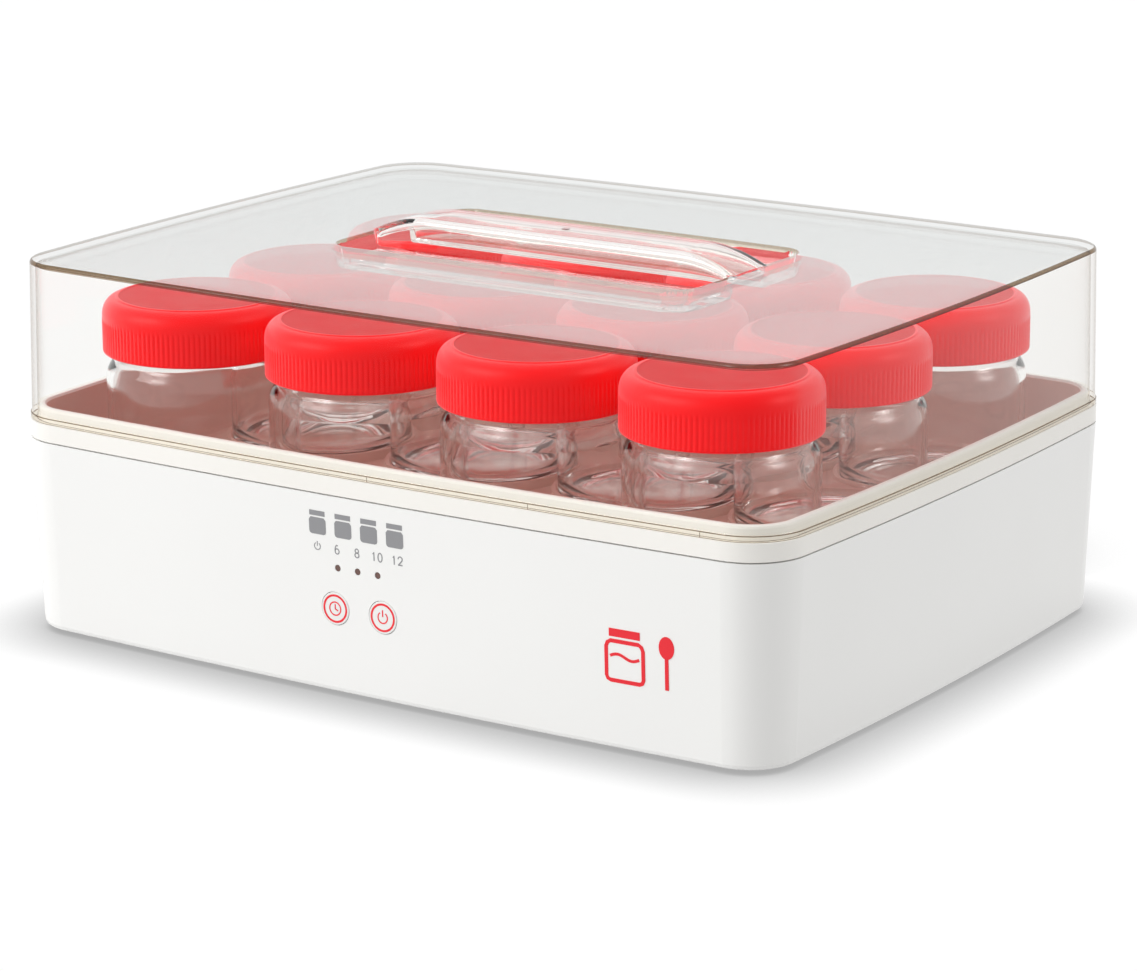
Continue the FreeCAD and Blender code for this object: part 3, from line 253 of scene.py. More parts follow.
# ------------------------------------------------------------------ shader helpers
def new_material(name):
    material = bpy.data.materials.new(name)
    material.use_nodes = True
    material.node_tree.nodes.clear()
    return material, material.node_tree


def add_node(tree, kind, inputs=None, **settings):
    """New shader node. An input given as a socket is linked; any other value is set."""
    new = tree.nodes.new("ShaderNode" + kind)
    for key, value in settings.items():
        setattr(new, key, value)
    for key, value in (inputs or {}).items():
        if isinstance(value, bpy.types.NodeSocket):
            tree.links.new(value, new.inputs[key])
        else:
            new.inputs[key].default_value = value
    return new


def set_surface(tree, shader):
    add_node(tree, "OutputMaterial", {"Surface": shader.outputs[0]})


def rgba(color):
    return (*color, 1.0)


def calculate(tree, operation, *operands, clamp=False):
    inputs = dict(enumerate(operands))
    return add_node(tree, "Math", inputs, operation=operation, use_clamp=clamp).outputs[0]


def mix_values(tree, factor, a, b):
    return add_node(tree, "Mix", {0: factor, 2: a, 3: b}, data_type="FLOAT").outputs[0]


def mix_colors(tree, factor, a, b):
    return add_node(tree, "Mix", {0: factor, 6: a, 7: b}, data_type="RGBA").outputs[2]


def mix_shaders(tree, factor, a, b):
    return add_node(tree, "MixShader", {0: factor, 1: a.outputs[0], 2: b.outputs[0]})


def object_coords(tree):
    coords = add_node(tree, "TexCoord").outputs["Object"]
    return add_node(tree, "Mapping", {"Vector": coords}).outputs["Vector"]


def noise(tree, vector, scale, detail=4.0, roughness=0.5):
    inputs = {"Vector": vector, "Scale": scale, "Detail": detail, "Roughness": roughness}
    return add_node(tree, "TexNoise", inputs).outputs["Fac"]


def color_drift(tree, factor, low, high):
    """Colour ramp over the middle of a noise's range."""
    ramp = add_node(tree, "ValToRGB", {"Fac": factor})
    for element, position, color in zip(ramp.color_ramp.elements, (0.3, 0.7), (low, high)):
        element.position = position
        element.color = rgba(color)
    return ramp.outputs["Color"]


def map_range(tree, value, to_min, to_max, from_min=0.0, from_max=1.0):
    inputs = {"Value": value, "From Min": from_min, "From Max": from_max,
              "To Min": to_min, "To Max": to_max}
    return add_node(tree, "MapRange", inputs).outputs["Result"]


def bump_normal(tree, height, strength, distance):
    inputs = {"Height": height, "Strength": strength, "Distance": distance}
    return add_node(tree, "Bump", inputs).outputs["Normal"]


# ------------------------------------------------------------------ opaque materials
def plastic(name, color, rough=0.35, spread=0.05, bump=0.02, grain=900.0, wear=0.03,
            specular=0.5, coat=0.0):
    """Moulded plastic: slow colour drift, fine grain and faint handling marks in the roughness.

    spread is the roughness variation, grain the scale of the bump, wear the colour variation.
    """
    material, tree = new_material(name)
    vector = object_coords(tree)
    dark = [c * (1 - wear) for c in color]
    light = [min(1.0, c * (1 + wear * 0.6)) for c in color]
    slow = noise(tree, vector, scale=14.0, detail=3.0)
    marks = noise(tree, vector, scale=60.0, detail=6.0, roughness=0.6)
    fine = noise(tree, vector, scale=grain, detail=2.0)
    inputs = {
        "Base Color": color_drift(tree, slow, dark, light),
        "Roughness": map_range(tree, marks, rough - spread, rough + spread,
                               from_min=0.3, from_max=0.7),
        "Normal": bump_normal(tree, fine, strength=bump, distance=0.0004),
        "Specular IOR Level": specular,
    }
    if coat:
        inputs.update({"Coat Weight": coat, "Coat Roughness": 0.12})
    set_surface(tree, add_node(tree, "BsdfPrincipled", inputs))
    return material


def metal(name, color, rough, brushed=True):
    """Metal with one noise behind its colour, roughness and bump, drawn out along X if brushed."""
    material, tree = new_material(name)
    vector = object_coords(tree)
    if brushed:
        stretch = add_node(tree, "Mapping", {"Vector": vector, "Scale": (20.0, 900.0, 900.0)})
        grain = noise(tree, stretch.outputs["Vector"], scale=1.0, detail=3.0)
    else:
        grain = noise(tree, vector, scale=250.0, detail=3.0)
    set_surface(tree, add_node(tree, "BsdfPrincipled", {
        "Metallic": 1.0,
        "Base Color": color_drift(tree, grain, [c * 0.85 for c in color], color),
        "Roughness": map_range(tree, grain, rough * 0.7, rough * 1.3),
        "Normal": bump_normal(tree, grain, strength=0.08, distance=0.0003),
    }))
    return material


def principled_of(material):
    return next(n for n in material.node_tree.nodes if n.type == "BSDF_PRINCIPLED")


def add_painted_sheen(material, tint, falloff, amount):
    """Painted sheen: the colour turns towards tint where the skin is seen at a glancing angle."""
    tree = material.node_tree
    base = principled_of(material).inputs["Base Color"]
    facing = add_node(tree, "LayerWeight", {"Blend": 0.5}).outputs["Facing"]
    glancing = calculate(tree, "POWER", facing, falloff)
    weight = calculate(tree, "MULTIPLY", glancing, amount)
    tree.links.new(mix_colors(tree, weight, base.links[0].from_socket, rgba(tint)), base)


# painted glow: the material gives off light of its own colour, though it is no lamp
def add_painted_glow(material, color, strength):
    skin = principled_of(material)
    skin.inputs["Emission Color"].default_value = rgba(color)
    skin.inputs["Emission Strength"].default_value = strength


WHITE = plastic("casing_white", (0.862, 0.858, 0.842), rough=0.34, spread=0.04, bump=0.015,
                wear=0.008)
BASE_WHITE = plastic("base_white", (0.80, 0.795, 0.78), rough=0.5, bump=0.06, grain=1500.0,
                     wear=0.02)
RED = plastic("cap_red", (0.96, 0.0028, 0.006), rough=0.34, bump=0.03, grain=1400.0, wear=0.04,
              specular=0.20)
# painted shade: a darker copy of the cap red for the caps' raised tops
RED_TOP_PAINTED_SHADE = plastic("cap_red_top_painted_shade", (0.66, 0.008, 0.013), rough=0.42, bump=0.04, grain=1600.0,
                  wear=0.04, specular=0.3)
# painted sheen: the cap red turns pink towards the caps' glancing edges
add_painted_sheen(RED, tint=(1.0, 0.21, 0.235), falloff=2.6, amount=0.85)
# painted glow: the caps give off a faint red light of their own, standing in for the light they
# throw on each other
for red in (RED, RED_TOP_PAINTED_SHADE):              # light that the red caps throw on each other
    add_painted_glow(red, color=(1.0, 0.01, 0.01), strength=0.08)
BUTTON = plastic("button_white", (0.82, 0.817, 0.80), rough=0.38, bump=0.03, wear=0.01)
PRINT_RED = plastic("print_red", (0.82, 0.012, 0.025), rough=0.45, wear=0.02)
PRINT_GREY = plastic("print_grey", (0.27, 0.27, 0.28), rough=0.45, wear=0.04)
TICK = plastic("lid_tick", (0.22, 0.16, 0.10), rough=0.3, bump=0.0, wear=0.1)
LENS = plastic("lens_smoke", (0.13, 0.055, 0.04), rough=0.12, bump=0.0, wear=0.2, coat=0.6)
RUBBER = plastic("foot_rubber", (0.10, 0.10, 0.105), rough=0.75, bump=0.2, grain=2200.0,
                 wear=0.2, specular=0.3)
CORD = plastic("cord_rubber", (0.80, 0.80, 0.79), rough=0.5, bump=0.06, grain=1200.0, wear=0.02)
BOARD = plastic("circuit_board", (0.02, 0.16, 0.06), rough=0.3, bump=0.1, grain=700.0,
                wear=0.25, coat=0.3)
CHIP = plastic("chip_black", (0.02, 0.02, 0.022), rough=0.55, bump=0.1, grain=2500.0, wear=0.2)
LED = plastic("led_body", (0.75, 0.22, 0.14), rough=0.15, bump=0.0, wear=0.1, coat=0.5)
YELLOW = plastic("capacitor_yellow", (0.75, 0.50, 0.05), rough=0.35, wear=0.06)
CAN = plastic("capacitor_can", (0.06, 0.06, 0.12), rough=0.3, wear=0.15)
GREEN = plastic("terminal_green", (0.04, 0.30, 0.09), rough=0.45, wear=0.08)
SILICONE = plastic("heater_silicone", (0.78, 0.74, 0.64), rough=0.55, bump=0.1, wear=0.05)
BEAD = plastic("sensor_bead", (0.02, 0.02, 0.02), rough=0.2, wear=0.2, coat=0.4)
CLAMP = plastic("clamp_white", (0.78, 0.78, 0.76), rough=0.5, bump=0.05, wear=0.03)
WIRE = plastic("wire_cover", (0.55, 0.05, 0.04), rough=0.4, wear=0.15)
STEEL = metal("screw_steel", (0.72, 0.72, 0.73), rough=0.3, brushed=False)
ALUMINIUM = metal("spreader_aluminium", (0.86, 0.87, 0.88), rough=0.35)
FUSE = metal("fuse_can", (0.82, 0.82, 0.82), rough=0.25)
PIN = metal("pin_metal", (0.78, 0.77, 0.74), rough=0.18, brushed=False)


# ------------------------------------------------------------------ clear materials
def let_light_in(tree, shader, tint):
    """Shadow and diffuse rays pass straight through, so light reaches what stands inside."""
    through = add_node(tree, "BsdfTransparent", {"Color": rgba(tint)})
    rays = add_node(tree, "LightPath")
    either = calculate(tree, "MAXIMUM", rays.outputs["Is Shadow Ray"],
                       rays.outputs["Is Diffuse Ray"])
    set_surface(tree, mix_shaders(tree, either, shader, through))


def clear(name, color, ior, bump=0.0):
    """Clear plastic or glass that bends light; bump makes its surface slightly uneven."""
    material, tree = new_material(name)
    vector = object_coords(tree)
    slow = noise(tree, vector, scale=9.0, detail=2.0)
    inputs = {
        "IOR": ior,
        "Roughness": 0.0,
        "Transmission Weight": 1.0,
        "Base Color": color_drift(tree, slow, [c * 0.985 for c in color], color),
    }
    if bump:
        uneven = noise(tree, vector, scale=55.0, detail=2.0)
        inputs["Normal"] = bump_normal(tree, uneven, strength=bump, distance=0.001)
    let_light_in(tree, add_node(tree, "BsdfPrincipled", inputs), (0.985, 0.985, 0.985))
    return material


def thin_clear(name, face_on, edge_on, falloff, mirror=0.96, floor_mirror=0.003,
               gloss=(1.0, 1.0, 1.0)):
    """A clear skin seen without bending.

    Its tint goes from face_on to edge_on towards a grazing view, by the power falloff; the
    edge_on tint is painted refraction: bent light makes clear plastic look darker edge on.
    Its mirror part, of colour gloss, is floor_mirror face on and grows by mirror towards grazing.
    """
    material, tree = new_material(name)
    slow = noise(tree, object_coords(tree), scale=11.0, detail=2.0)
    base = color_drift(tree, slow, [c * 0.994 for c in face_on], face_on)
    facing = add_node(tree, "LayerWeight", {"Blend": 0.5}).outputs["Facing"]
    glancing = calculate(tree, "POWER", facing, falloff)
    tint = mix_colors(tree, glancing, base, rgba(edge_on))
    see_through = add_node(tree, "BsdfTransparent", {"Color": tint})
    glossy = add_node(tree, "BsdfAnisotropic", {"Roughness": 0.02, "Color": rgba(gloss)})
    # the fifth power of Schlick's curve, the same from both sides of the skin
    fifth = calculate(tree, "POWER", facing, 5.0)
    mirrored = calculate(tree, "MULTIPLY_ADD", fifth, mirror, floor_mirror, clamp=True)
    skin = mix_shaders(tree, mirrored, see_through, glossy)
    let_light_in(tree, skin, (0.985, 0.985, 0.98))
    return material


LID = clear("lid_clear", (0.940, 0.925, 0.905), ior=1.49)
# the edge_on tints of the thin skins below are painted refraction, the darker look of clear
# plastic seen edge on
LID_THIN = thin_clear("lid_clear_wall", face_on=(0.994, 0.994, 0.99), edge_on=(0.42, 0.35, 0.28),
                      falloff=5.0)
LID_TOP = thin_clear("lid_clear_top", face_on=(0.985, 0.985, 0.98), edge_on=(0.85, 0.85, 0.84),
                     falloff=5.0, mirror=1.45, floor_mirror=0.01, gloss=(0.83, 0.845, 0.845))
# painted refraction: the browns of these three skins stand in for light bent by the lid's curved
# edges; the plastic itself is clear
LID_EDGE = thin_clear("lid_edge_painted_refraction", face_on=(0.27, 0.18, 0.10), edge_on=(0.19, 0.12, 0.06),
                      falloff=3.0, floor_mirror=0.03)
LID_TAN = thin_clear("lid_tan_painted_refraction", face_on=(0.60, 0.50, 0.385), edge_on=(0.50, 0.40, 0.29),
                     falloff=3.0, floor_mirror=0.04)
LID_LINE = thin_clear("lid_line_painted_refraction", face_on=(0.50, 0.42, 0.34), edge_on=(0.38, 0.31, 0.24),
                      falloff=3.0, floor_mirror=0.03)
LID_RIM = thin_clear("lid_clear_rim", face_on=(0.965, 0.945, 0.91), edge_on=(0.72, 0.64, 0.52),
                     falloff=4.0, floor_mirror=0.05)
GLASS = clear("jar_glass", (0.992, 0.99, 0.984), ior=1.50, bump=0.06)


# ------------------------------------------------------------------ tray material
def taupe_mask(tree):
    """1 on faces that look inward below the rim, and on everything deep in the tray."""
    rim_z, deep_z, facing_limit = 0.0892, 0.0600, -0.25
    place_node = add_node(tree, "TexCoord")
    split = add_node(tree, "SeparateXYZ", {0: place_node.outputs["Object"]})
    height = split.outputs["Z"]
    flat = add_node(tree, "CombineXYZ", {"X": split.outputs["X"], "Y": split.outputs["Y"]})
    outward = add_node(tree, "VectorMath", {0: flat.outputs[0]}, operation="NORMALIZE")
    normal = add_node(tree, "TexCoord").outputs["Normal"]
    facing = add_node(tree, "VectorMath", {0: outward.outputs["Vector"], 1: normal},
                      operation="DOT_PRODUCT")
    inward = calculate(tree, "LESS_THAN", facing.outputs["Value"], facing_limit)
    below = calculate(tree, "LESS_THAN", height, rim_z)
    deep = calculate(tree, "LESS_THAN", height, deep_z)
    return calculate(tree, "MAXIMUM", calculate(tree, "MULTIPLY", inward, below), deep)


def tray_material():
    """Cream rim and lip, taupe inside; the taupe glows a little to fill its shadows."""
    material, tree = new_material("tray_taupe")
    mask = taupe_mask(tree)
    vector = object_coords(tree)
    slow = noise(tree, vector, scale=14.0, detail=3.0)
    taupe = color_drift(tree, slow, (0.57, 0.395, 0.338), (0.60, 0.42, 0.36))
    cream = color_drift(tree, slow, (0.86, 0.84, 0.795), (0.885, 0.865, 0.825))
    fine = noise(tree, vector, scale=1100.0, detail=2.0)
    marks = noise(tree, vector, scale=60.0, detail=5.0)
    shader = add_node(tree, "BsdfPrincipled", {
        "Base Color": mix_colors(tree, mask, cream, taupe),
        "Roughness": 0.4,
        "Specular IOR Level": 0.25,
        "Emission Color": taupe,
        "Emission Strength": calculate(tree, "MULTIPLY", mask, 0.14),
        "Normal": bump_normal(tree, fine, strength=0.04, distance=0.0004),
    })
    roughness = map_range(tree, marks, to_min=0.30, to_max=0.46)
    tree.links.new(roughness, shader.inputs["Roughness"])
    set_surface(tree, shader)
    return material


TRAY = tray_material()

# ------------------------------------------------------------------ finishes of the CAD pieces
FINISH = {
    "outer_casing": WHITE, "base_plate": BASE_WHITE, "top_tray": TRAY,
    "time_button": BUTTON, "power_button": BUTTON, "indicator_lenses": LENS,
    "control_board": BOARD, "power_board": BOARD, "microcontroller": CHIP,
    "tact_switches": CHIP, "power_relay": CHIP, "indicator_leds": LED,
    "control_board_screws": STEEL, "power_board_screws": STEEL, "heater_screws": STEEL,
    "case_screws_long": STEEL, "case_screws_short": STEEL, "sensor_clips": STEEL,
    "heater_strips": ALUMINIUM, "film_capacitor": YELLOW, "filter_capacitor": CAN,
    "terminal_block": GREEN, "heat_spreader_plate": ALUMINIUM, "heating_cord": SILICONE,
    "thermistor": BEAD, "thermal_fuse": FUSE, "rubber_feet": RUBBER,
    "cord_strain_relief": CORD, "power_cord": CORD, "power_plug": CORD, "plug_pins": PIN,
    "cord_clamp": CLAMP, "board_harness": WIRE, "heater_leads": WIRE,
}


def finish_cad_pieces():
    for name, piece in nodes.items():
        if name not in FINISH:
            continue
        mesh = piece.data
        mesh.materials.clear()
        mesh.materials.append(FINISH[name])
        mesh.polygons.foreach_set("material_index", [0] * len(mesh.polygons))
        shade_smooth(mesh, 32.0)


finish_cad_pieces()


# ------------------------------------------------------------------ jar caps
def cap_mesh():
    """Fluted skirt, round shoulder and a flat raised top inside a fine ridge."""
    low, high, skirt, top = CAP_LOW, CAP_HIGH, CAP_R, CAP_TOP_R
    shoulder_r = top + 0.45             # where the shoulder leaves the foot of the raised top
    # r, z from the middle of the top out to the shoulder
    outer = [
        (0, high - 0.3), (top * 0.35, high - 0.3), (top * 0.7, high - 0.3),
        (top - 1.7, high - 0.3), (top - 1.3, high - 0.27), (top - 0.95, high - 0.06),
        (top - 0.65, high), (top - 0.2, high), (top + 0.05, high - 0.1),
        (top + 0.16, high - 0.36), (shoulder_r, high - 0.5),
    ]
    # shoulder: part of an oval's quarter, down to the skirt
    shoulder_width, shoulder_height = skirt - 0.12 - shoulder_r, 6.6
    outer += [(shoulder_r + shoulder_width * math.sin(t),
               high - 0.46 - shoulder_height * (1 - math.cos(t)))
              for t in np.linspace(0.12, math.pi / 2, 12)]
    skirt_top = outer[-1][1]
    outer += [
        (skirt - 0.08, skirt_top - 0.9), (skirt - 0.02, skirt_top - 1.8),
        (skirt, skirt_top - 2.6), (skirt, (skirt_top + low) / 2), (skirt, low + 1.3),
        (skirt, low + 0.75), (skirt - 0.15, low + 0.3), (skirt - 0.55, low),
    ]
    inner = [
        (skirt - 1.5, low), (skirt - 1.9, low + 0.35), (skirt - 1.9, high - 6.0),
        (skirt - 2.4, high - 4.4), (skirt - 3.4, high - 2.9), (skirt - 4.6, high - 2.3),
        (top * 0.5, high - 2.3), (0, high - 2.3),
    ]
    flute_high, flute_low = skirt_top - 0.4, low + 0.5

    def fluted(k, r, z, s):
        """Outer radius, cut by the flutes, which fade out at both ends of the skirt."""
        if k >= len(outer):
            return r
        fade = float(ease((flute_high - z) / 2.0) * ease((z - flute_low) / 0.7))
        phase = 2 * math.pi * (s % FLUTE_STEPS) / FLUTE_STEPS
        return r - FLUTE_DEPTH * fade * (0.5 + 0.5 * math.cos(phase)) ** 1.5

    verts, faces = lathe(outer + inner, FLUTES * FLUTE_STEPS, fluted)
    mesh = make_mesh("jar_cap_mesh", verts, faces, 38.0)
    mesh.materials.append(RED)
    mesh.materials.append(RED_TOP_PAINTED_SHADE)

    def on_raised_top(centre):
        return (centre.z > (high - 0.4) * MM
                and math.hypot(centre.x, centre.y) < (top - 1.0) * MM)

    # the raised top takes the darker copy of the red, painted shade
    mesh.polygons.foreach_set("material_index", [int(on_raised_top(p.center))
                                                 for p in mesh.polygons])
    return mesh


def lug_mesh(name, wall_r, tip_r, heights, width, material):
    """Short lugs on a round wall, lower at both ends.

    heights: z at the wall, at the tip, at the tip, at the wall. width is in degrees.
    """
    verts, faces = [], []
    for lug in range(LUG_COUNT):
        middle = 2 * math.pi * lug / LUG_COUNT
        first = len(verts)
        for i in range(LUG_STEPS + 1):
            angle = middle + math.radians(width) * (i / LUG_STEPS - 0.5)
            rise = min(1.0, min(i, LUG_STEPS - i) / 1.5 + 0.25)
            tip = wall_r + (tip_r - wall_r) * rise
            for r, z in zip((wall_r, tip, tip, wall_r), heights):
                verts.append((r * math.cos(angle) * MM, r * math.sin(angle) * MM, z * MM))
        for i in range(LUG_STEPS):
            a, b = first + 4 * i, first + 4 * (i + 1)
            for side in range(4):
                after = (side + 1) % 4
                faces.append((a + side, b + side, b + after, a + after))
        last = first + 4 * LUG_STEPS
        faces.append((first, first + 1, first + 2, first + 3))
        faces.append((last + 3, last + 2, last + 1, last))
    mesh = make_mesh(name, verts, faces, 35.0)
    mesh.materials.append(material)
    return mesh


# ------------------------------------------------------------------ glass jars
def jar_profile():
    """r, z of the jar: outside from the base's middle to the mouth, then inside back down."""
    low, high, wide, neck = JAR_LOW, JAR_HIGH, JAR_R, NECK_R
    bore, neck_bore = wide - JAR_WALL, neck - JAR_WALL
    base = [(0, low + 1.3), (12, low + 1.25), (22, low + 1.0), (26.5, low + 0.45), (28.5, low)]
    wall = arc(wide - 4.6, low + 4.6, 4.6, -90, 0, 9)
    wall += [(wide, low + 12), (wide, low + 25), (wide, low + 38), (wide, low + 43.2)]
    shoulder = [
        (wide - 0.12, low + 44.6), (wide - 0.4, low + 46.0), (wide - 0.85, low + 47.3),
        (wide - 1.45, low + 48.5), (wide - 2.1, low + 49.5), (neck + 0.45, low + 50.6),
        (neck + 0.12, low + 51.5), (neck, low + 52.6),
    ]
    mouth = [(neck, low + 58), (neck, high - 3), (neck, high - 1.0)]
    mouth += arc(neck - 1.0, high - 1.0, 1.0, 15, 90, 4)
    mouth += arc(neck_bore + 0.9, high - 0.9, 0.9, 90, 175, 4)
    inside = [
        (neck_bore, high - 3), (neck_bore, low + 58), (neck_bore, low + 53.5),
        (neck_bore + 0.15, low + 52.2), (neck_bore + 0.6, low + 50.8),
        (bore - 1.7, low + 49.0), (bore - 0.8, low + 46.8), (bore - 0.15, low + 44.4),
        (bore, low + 42.0), (bore, low + 30), (bore, low + 18), (bore, low + 10.0),
    ]
    inside += arc(bore - 5.6, low + 9.6, 5.6, -5, -85, 8)
    inside += [(22, low + 3.75), (12, low + 3.6), (0, low + 3.55)]
    return base + wall + shoulder + mouth + inside


def jar_mesh():
    mesh = make_mesh("jar_mesh", *lathe(jar_profile(), JAR_SEGMENTS), 60.0)
    mesh.materials.append(GLASS)
    return mesh


def build_jars():
    cap = cap_mesh()
    cap_lugs = lug_mesh(
        "cap_lug_mesh", wall_r=CAP_R - 1.95, tip_r=NECK_R + 0.4,
        heights=(CAP_LOW + 4.0, CAP_LOW + 4.6, CAP_LOW + 6.4, CAP_LOW + 6.6),
        width=30.0, material=RED)
    jar = jar_mesh()
    jar_lugs = lug_mesh(
        "jar_lug_mesh", wall_r=NECK_R - 0.5, tip_r=NECK_R + 1.7,
        heights=(CAP_LOW + 7.0, CAP_LOW + 7.6, CAP_LOW + 9.0, CAP_LOW + 9.8),
        width=36.0, material=GLASS)
    for k in range(JAR_COLUMNS * JAR_ROWS):
        row, column = divmod(k, JAR_COLUMNS)
        at = (JAR_PITCH_X * (column - (JAR_COLUMNS - 1) / 2) * MM,
              JAR_PITCH_Y * (row - (JAR_ROWS - 1) / 2) * MM, 0)
        number = "%02d" % (k + 1)
        jar_body, cap_body = "body_jar_" + number, "body_jar_cap_" + number
        place("jar_glass_" + number, jar, jar_body, ("jar_" + number,), at)
        place("jar_cap_shell_" + number, cap, cap_body, ("jar_cap_" + number,), at)
        place("jar_glass_lugs_" + number, jar_lugs, jar_body, at=at)
        place("jar_cap_lugs_" + number, cap_lugs, cap_body, at=at)


build_jars()


# ------------------------------------------------------------------ lid heights
def crown(x, y):
    """Height of the domed top."""
    along = np.clip(1 - (x / CROWN_X) ** 2, 0, 1)
    return LID_HIGH + CROWN_RISE * along * np.clip(1 - (y / CROWN_Y) ** 2, 0, 1)


def box_distance(x, y, half_x, half_y, radius):
    """Signed distance to a rounded rectangle, negative inside."""
    dx, dy = np.abs(x) - half_x + radius, np.abs(y) - half_y + radius
    beyond = np.hypot(np.maximum(dx, 0), np.maximum(dy, 0))
    return beyond + np.minimum(np.maximum(dx, dy), 0) - radius


def top_height(x, y, inner):
    """Height of the outer or inner skin: crown, sunken well and grip bar."""
    inset = INNER_INSET if inner else 0.0
    dome = crown(x, y) - (LID_WALL if inner else 0.0)
    floor = WELL_FLOOR - (2.0 if inner else 0.0)
    widen = inset * 0.8
    distance = box_distance(x, y, WELL_X + widen, WELL_Y + widen, WELL_R + widen)
    well = dome + (floor - dome) * ease(-distance / 2.5)
    # the bar falls away towards its ends and is rounded along both long edges
    half_bar = BAR_Y - inset
    along = np.abs(x) + inset * 0.35
    ridge = BAR_TOP - (2.15 if inner else 0.0) - 0.0097 * np.maximum(along - 57.0, 0.0) ** 2
    edge = np.clip((np.abs(y) - (half_bar - 2.6)) / 2.6, 0, 1)
    rounding = 2.2 * (1 - np.sqrt(np.clip(1 - edge * edge, 0, 1)))
    ridge = ridge - 0.35 * (y / half_bar) ** 2 - rounding
    bar = np.maximum(dome, ridge)
    return well + (bar - well) * (1 - ease((np.abs(y) - half_bar + 0.05) / 1.25))


# ------------------------------------------------------------------ lid grid and rings
def grid_lines(min_gap, middle, *mirrored):
    """Sorted grid lines; those within min_gap of the line before are left out."""
    values = [middle] + [part for lines in mirrored for part in (-lines, lines)]
    values = np.unique(np.round(np.concatenate(values), 4))
    return values[np.concatenate([[True], np.diff(values) > min_gap])]


# Denser where the well's walls and the bar's sides and ends rise
GRID_X = grid_lines(0.2, np.linspace(-104, 104, 43), np.arange(54, 76, 1.5),
                    np.arange(69.5, 88.0, 0.5))
GRID_Y = grid_lines(0.08, np.linspace(-64, 64, 33), np.arange(33.5, 50.0, 0.5),
                    np.arange(7.2, 10.0, 0.4), np.arange(9.8, 14.6, 0.17))
COUNT_X, COUNT_Y = len(GRID_X), len(GRID_Y)


def grid_perimeter():
    """(i, j) of the grid's edge vertices, counter-clockwise from the front left corner."""
    last_x, last_y = COUNT_X - 1, COUNT_Y - 1
    edge = [(i, 0) for i in range(last_x)] + [(last_x, j) for j in range(last_y)]
    edge += [(i, last_y) for i in range(last_x, 0, -1)] + [(0, j) for j in range(last_y, 0, -1)]
    return edge


PERIMETER = grid_perimeter()
RING_COUNT = len(PERIMETER)


def spread_round_outline():
    """Each perimeter vertex's distance round the outline, and the outline's running length."""
    points = outline(0.0)
    lengths = np.linalg.norm(np.roll(points, -1, 0) - points, axis=1)
    running = np.concatenate([[0], np.cumsum(lengths)])
    total = running[-1]
    arc_start = np.concatenate([[0], np.cumsum(ARC_STEPS)])
    # the corner arcs are numbers 1, 3, 5 and 7; each side runs from one's middle to the next's
    corners = [running[arc_start[k] + CORNER_STEPS // 2] for k in (1, 3, 5, 7)]
    ends = [corners[3] - total] + corners
    along_x, along_y = [(g - g[0]) / (g[-1] - g[0]) for g in (GRID_X, GRID_Y)]
    sides = (along_x, along_y, 1 - along_x[::-1], 1 - along_y[::-1])
    distances = []
    for side, start, end in zip(sides, ends, ends[1:]):
        steps = len(side) - 1
        share = 0.75 * np.arange(steps) / steps + 0.25 * side[:steps]
        distances.append(start + (end - start) * share)
    return np.concatenate(distances) % total, running


RING_DISTANCES, OUTLINE_RUN = spread_round_outline()


def ring_at(growth):
    """The perimeter vertices' places on the outline grown by growth."""
    points = outline(growth)
    points = np.vstack([points, points[:1]])
    return np.stack([np.interp(RING_DISTANCES, OUTLINE_RUN, points[:, axis])
                     for axis in (0, 1)], 1)


# ------------------------------------------------------------------ lid shell
def lid_wall_growth(z):
    """The outer wall flares evenly from the rounded top edge down to the foot."""
    start = LID_HIGH - LID_EDGE_R
    flare = LID_FOOT_GROWTH - LID_TOP_GROWTH
    return LID_TOP_GROWTH + flare * (start - z) / (start - LID_LOW)


def rounded_edge(top, growth, radius, angles):
    """(z, growth) levels round a top edge; angles in degrees."""
    return [(top - radius * (1 - math.cos(a)), growth - radius * (1 - math.sin(a)))
            for a in map(math.radians, angles)]


def lid_levels():
    """(z, growth) of the rings down the outer wall and down the inner wall."""
    outer = [(LID_HIGH, -LID_EDGE_R + 0.02)]
    outer += rounded_edge(LID_HIGH, LID_TOP_GROWTH, LID_EDGE_R, (18, 36, 54, 72, 90))
    outer += [(z, lid_wall_growth(z)) for z in (140, 130, 120, 110, 100, 92, LID_STEP + 0.5)]
    outer += [
        (LID_STEP + 0.15, lid_wall_growth(LID_STEP) + 0.06), (LID_STEP + 0.02, 1.45),
        (LID_STEP - 0.1, 1.68), (LID_STEP - 0.3, FLANGE_GROWTH),
        (LID_LOW + 0.3, FLANGE_GROWTH), (LID_LOW + 0.08, 1.68), (LID_LOW, 1.45),
    ]
    inner = [(LID_HIGH - LID_WALL, -LID_WALL - LID_INNER_EDGE_R)]
    inner += rounded_edge(LID_HIGH - LID_WALL, -LID_WALL, LID_INNER_EDGE_R, (30, 60, 90))
    inner += [(z, lid_wall_growth(z) - LID_WALL)
              for z in (138, 125, 112, 100, 90, LID_LOW + 0.5)]
    foot = lid_wall_growth(LID_LOW) - LID_WALL
    inner += [(LID_LOW + 0.1, foot + 0.12), (LID_LOW, foot + 0.45)]
    return outer, inner


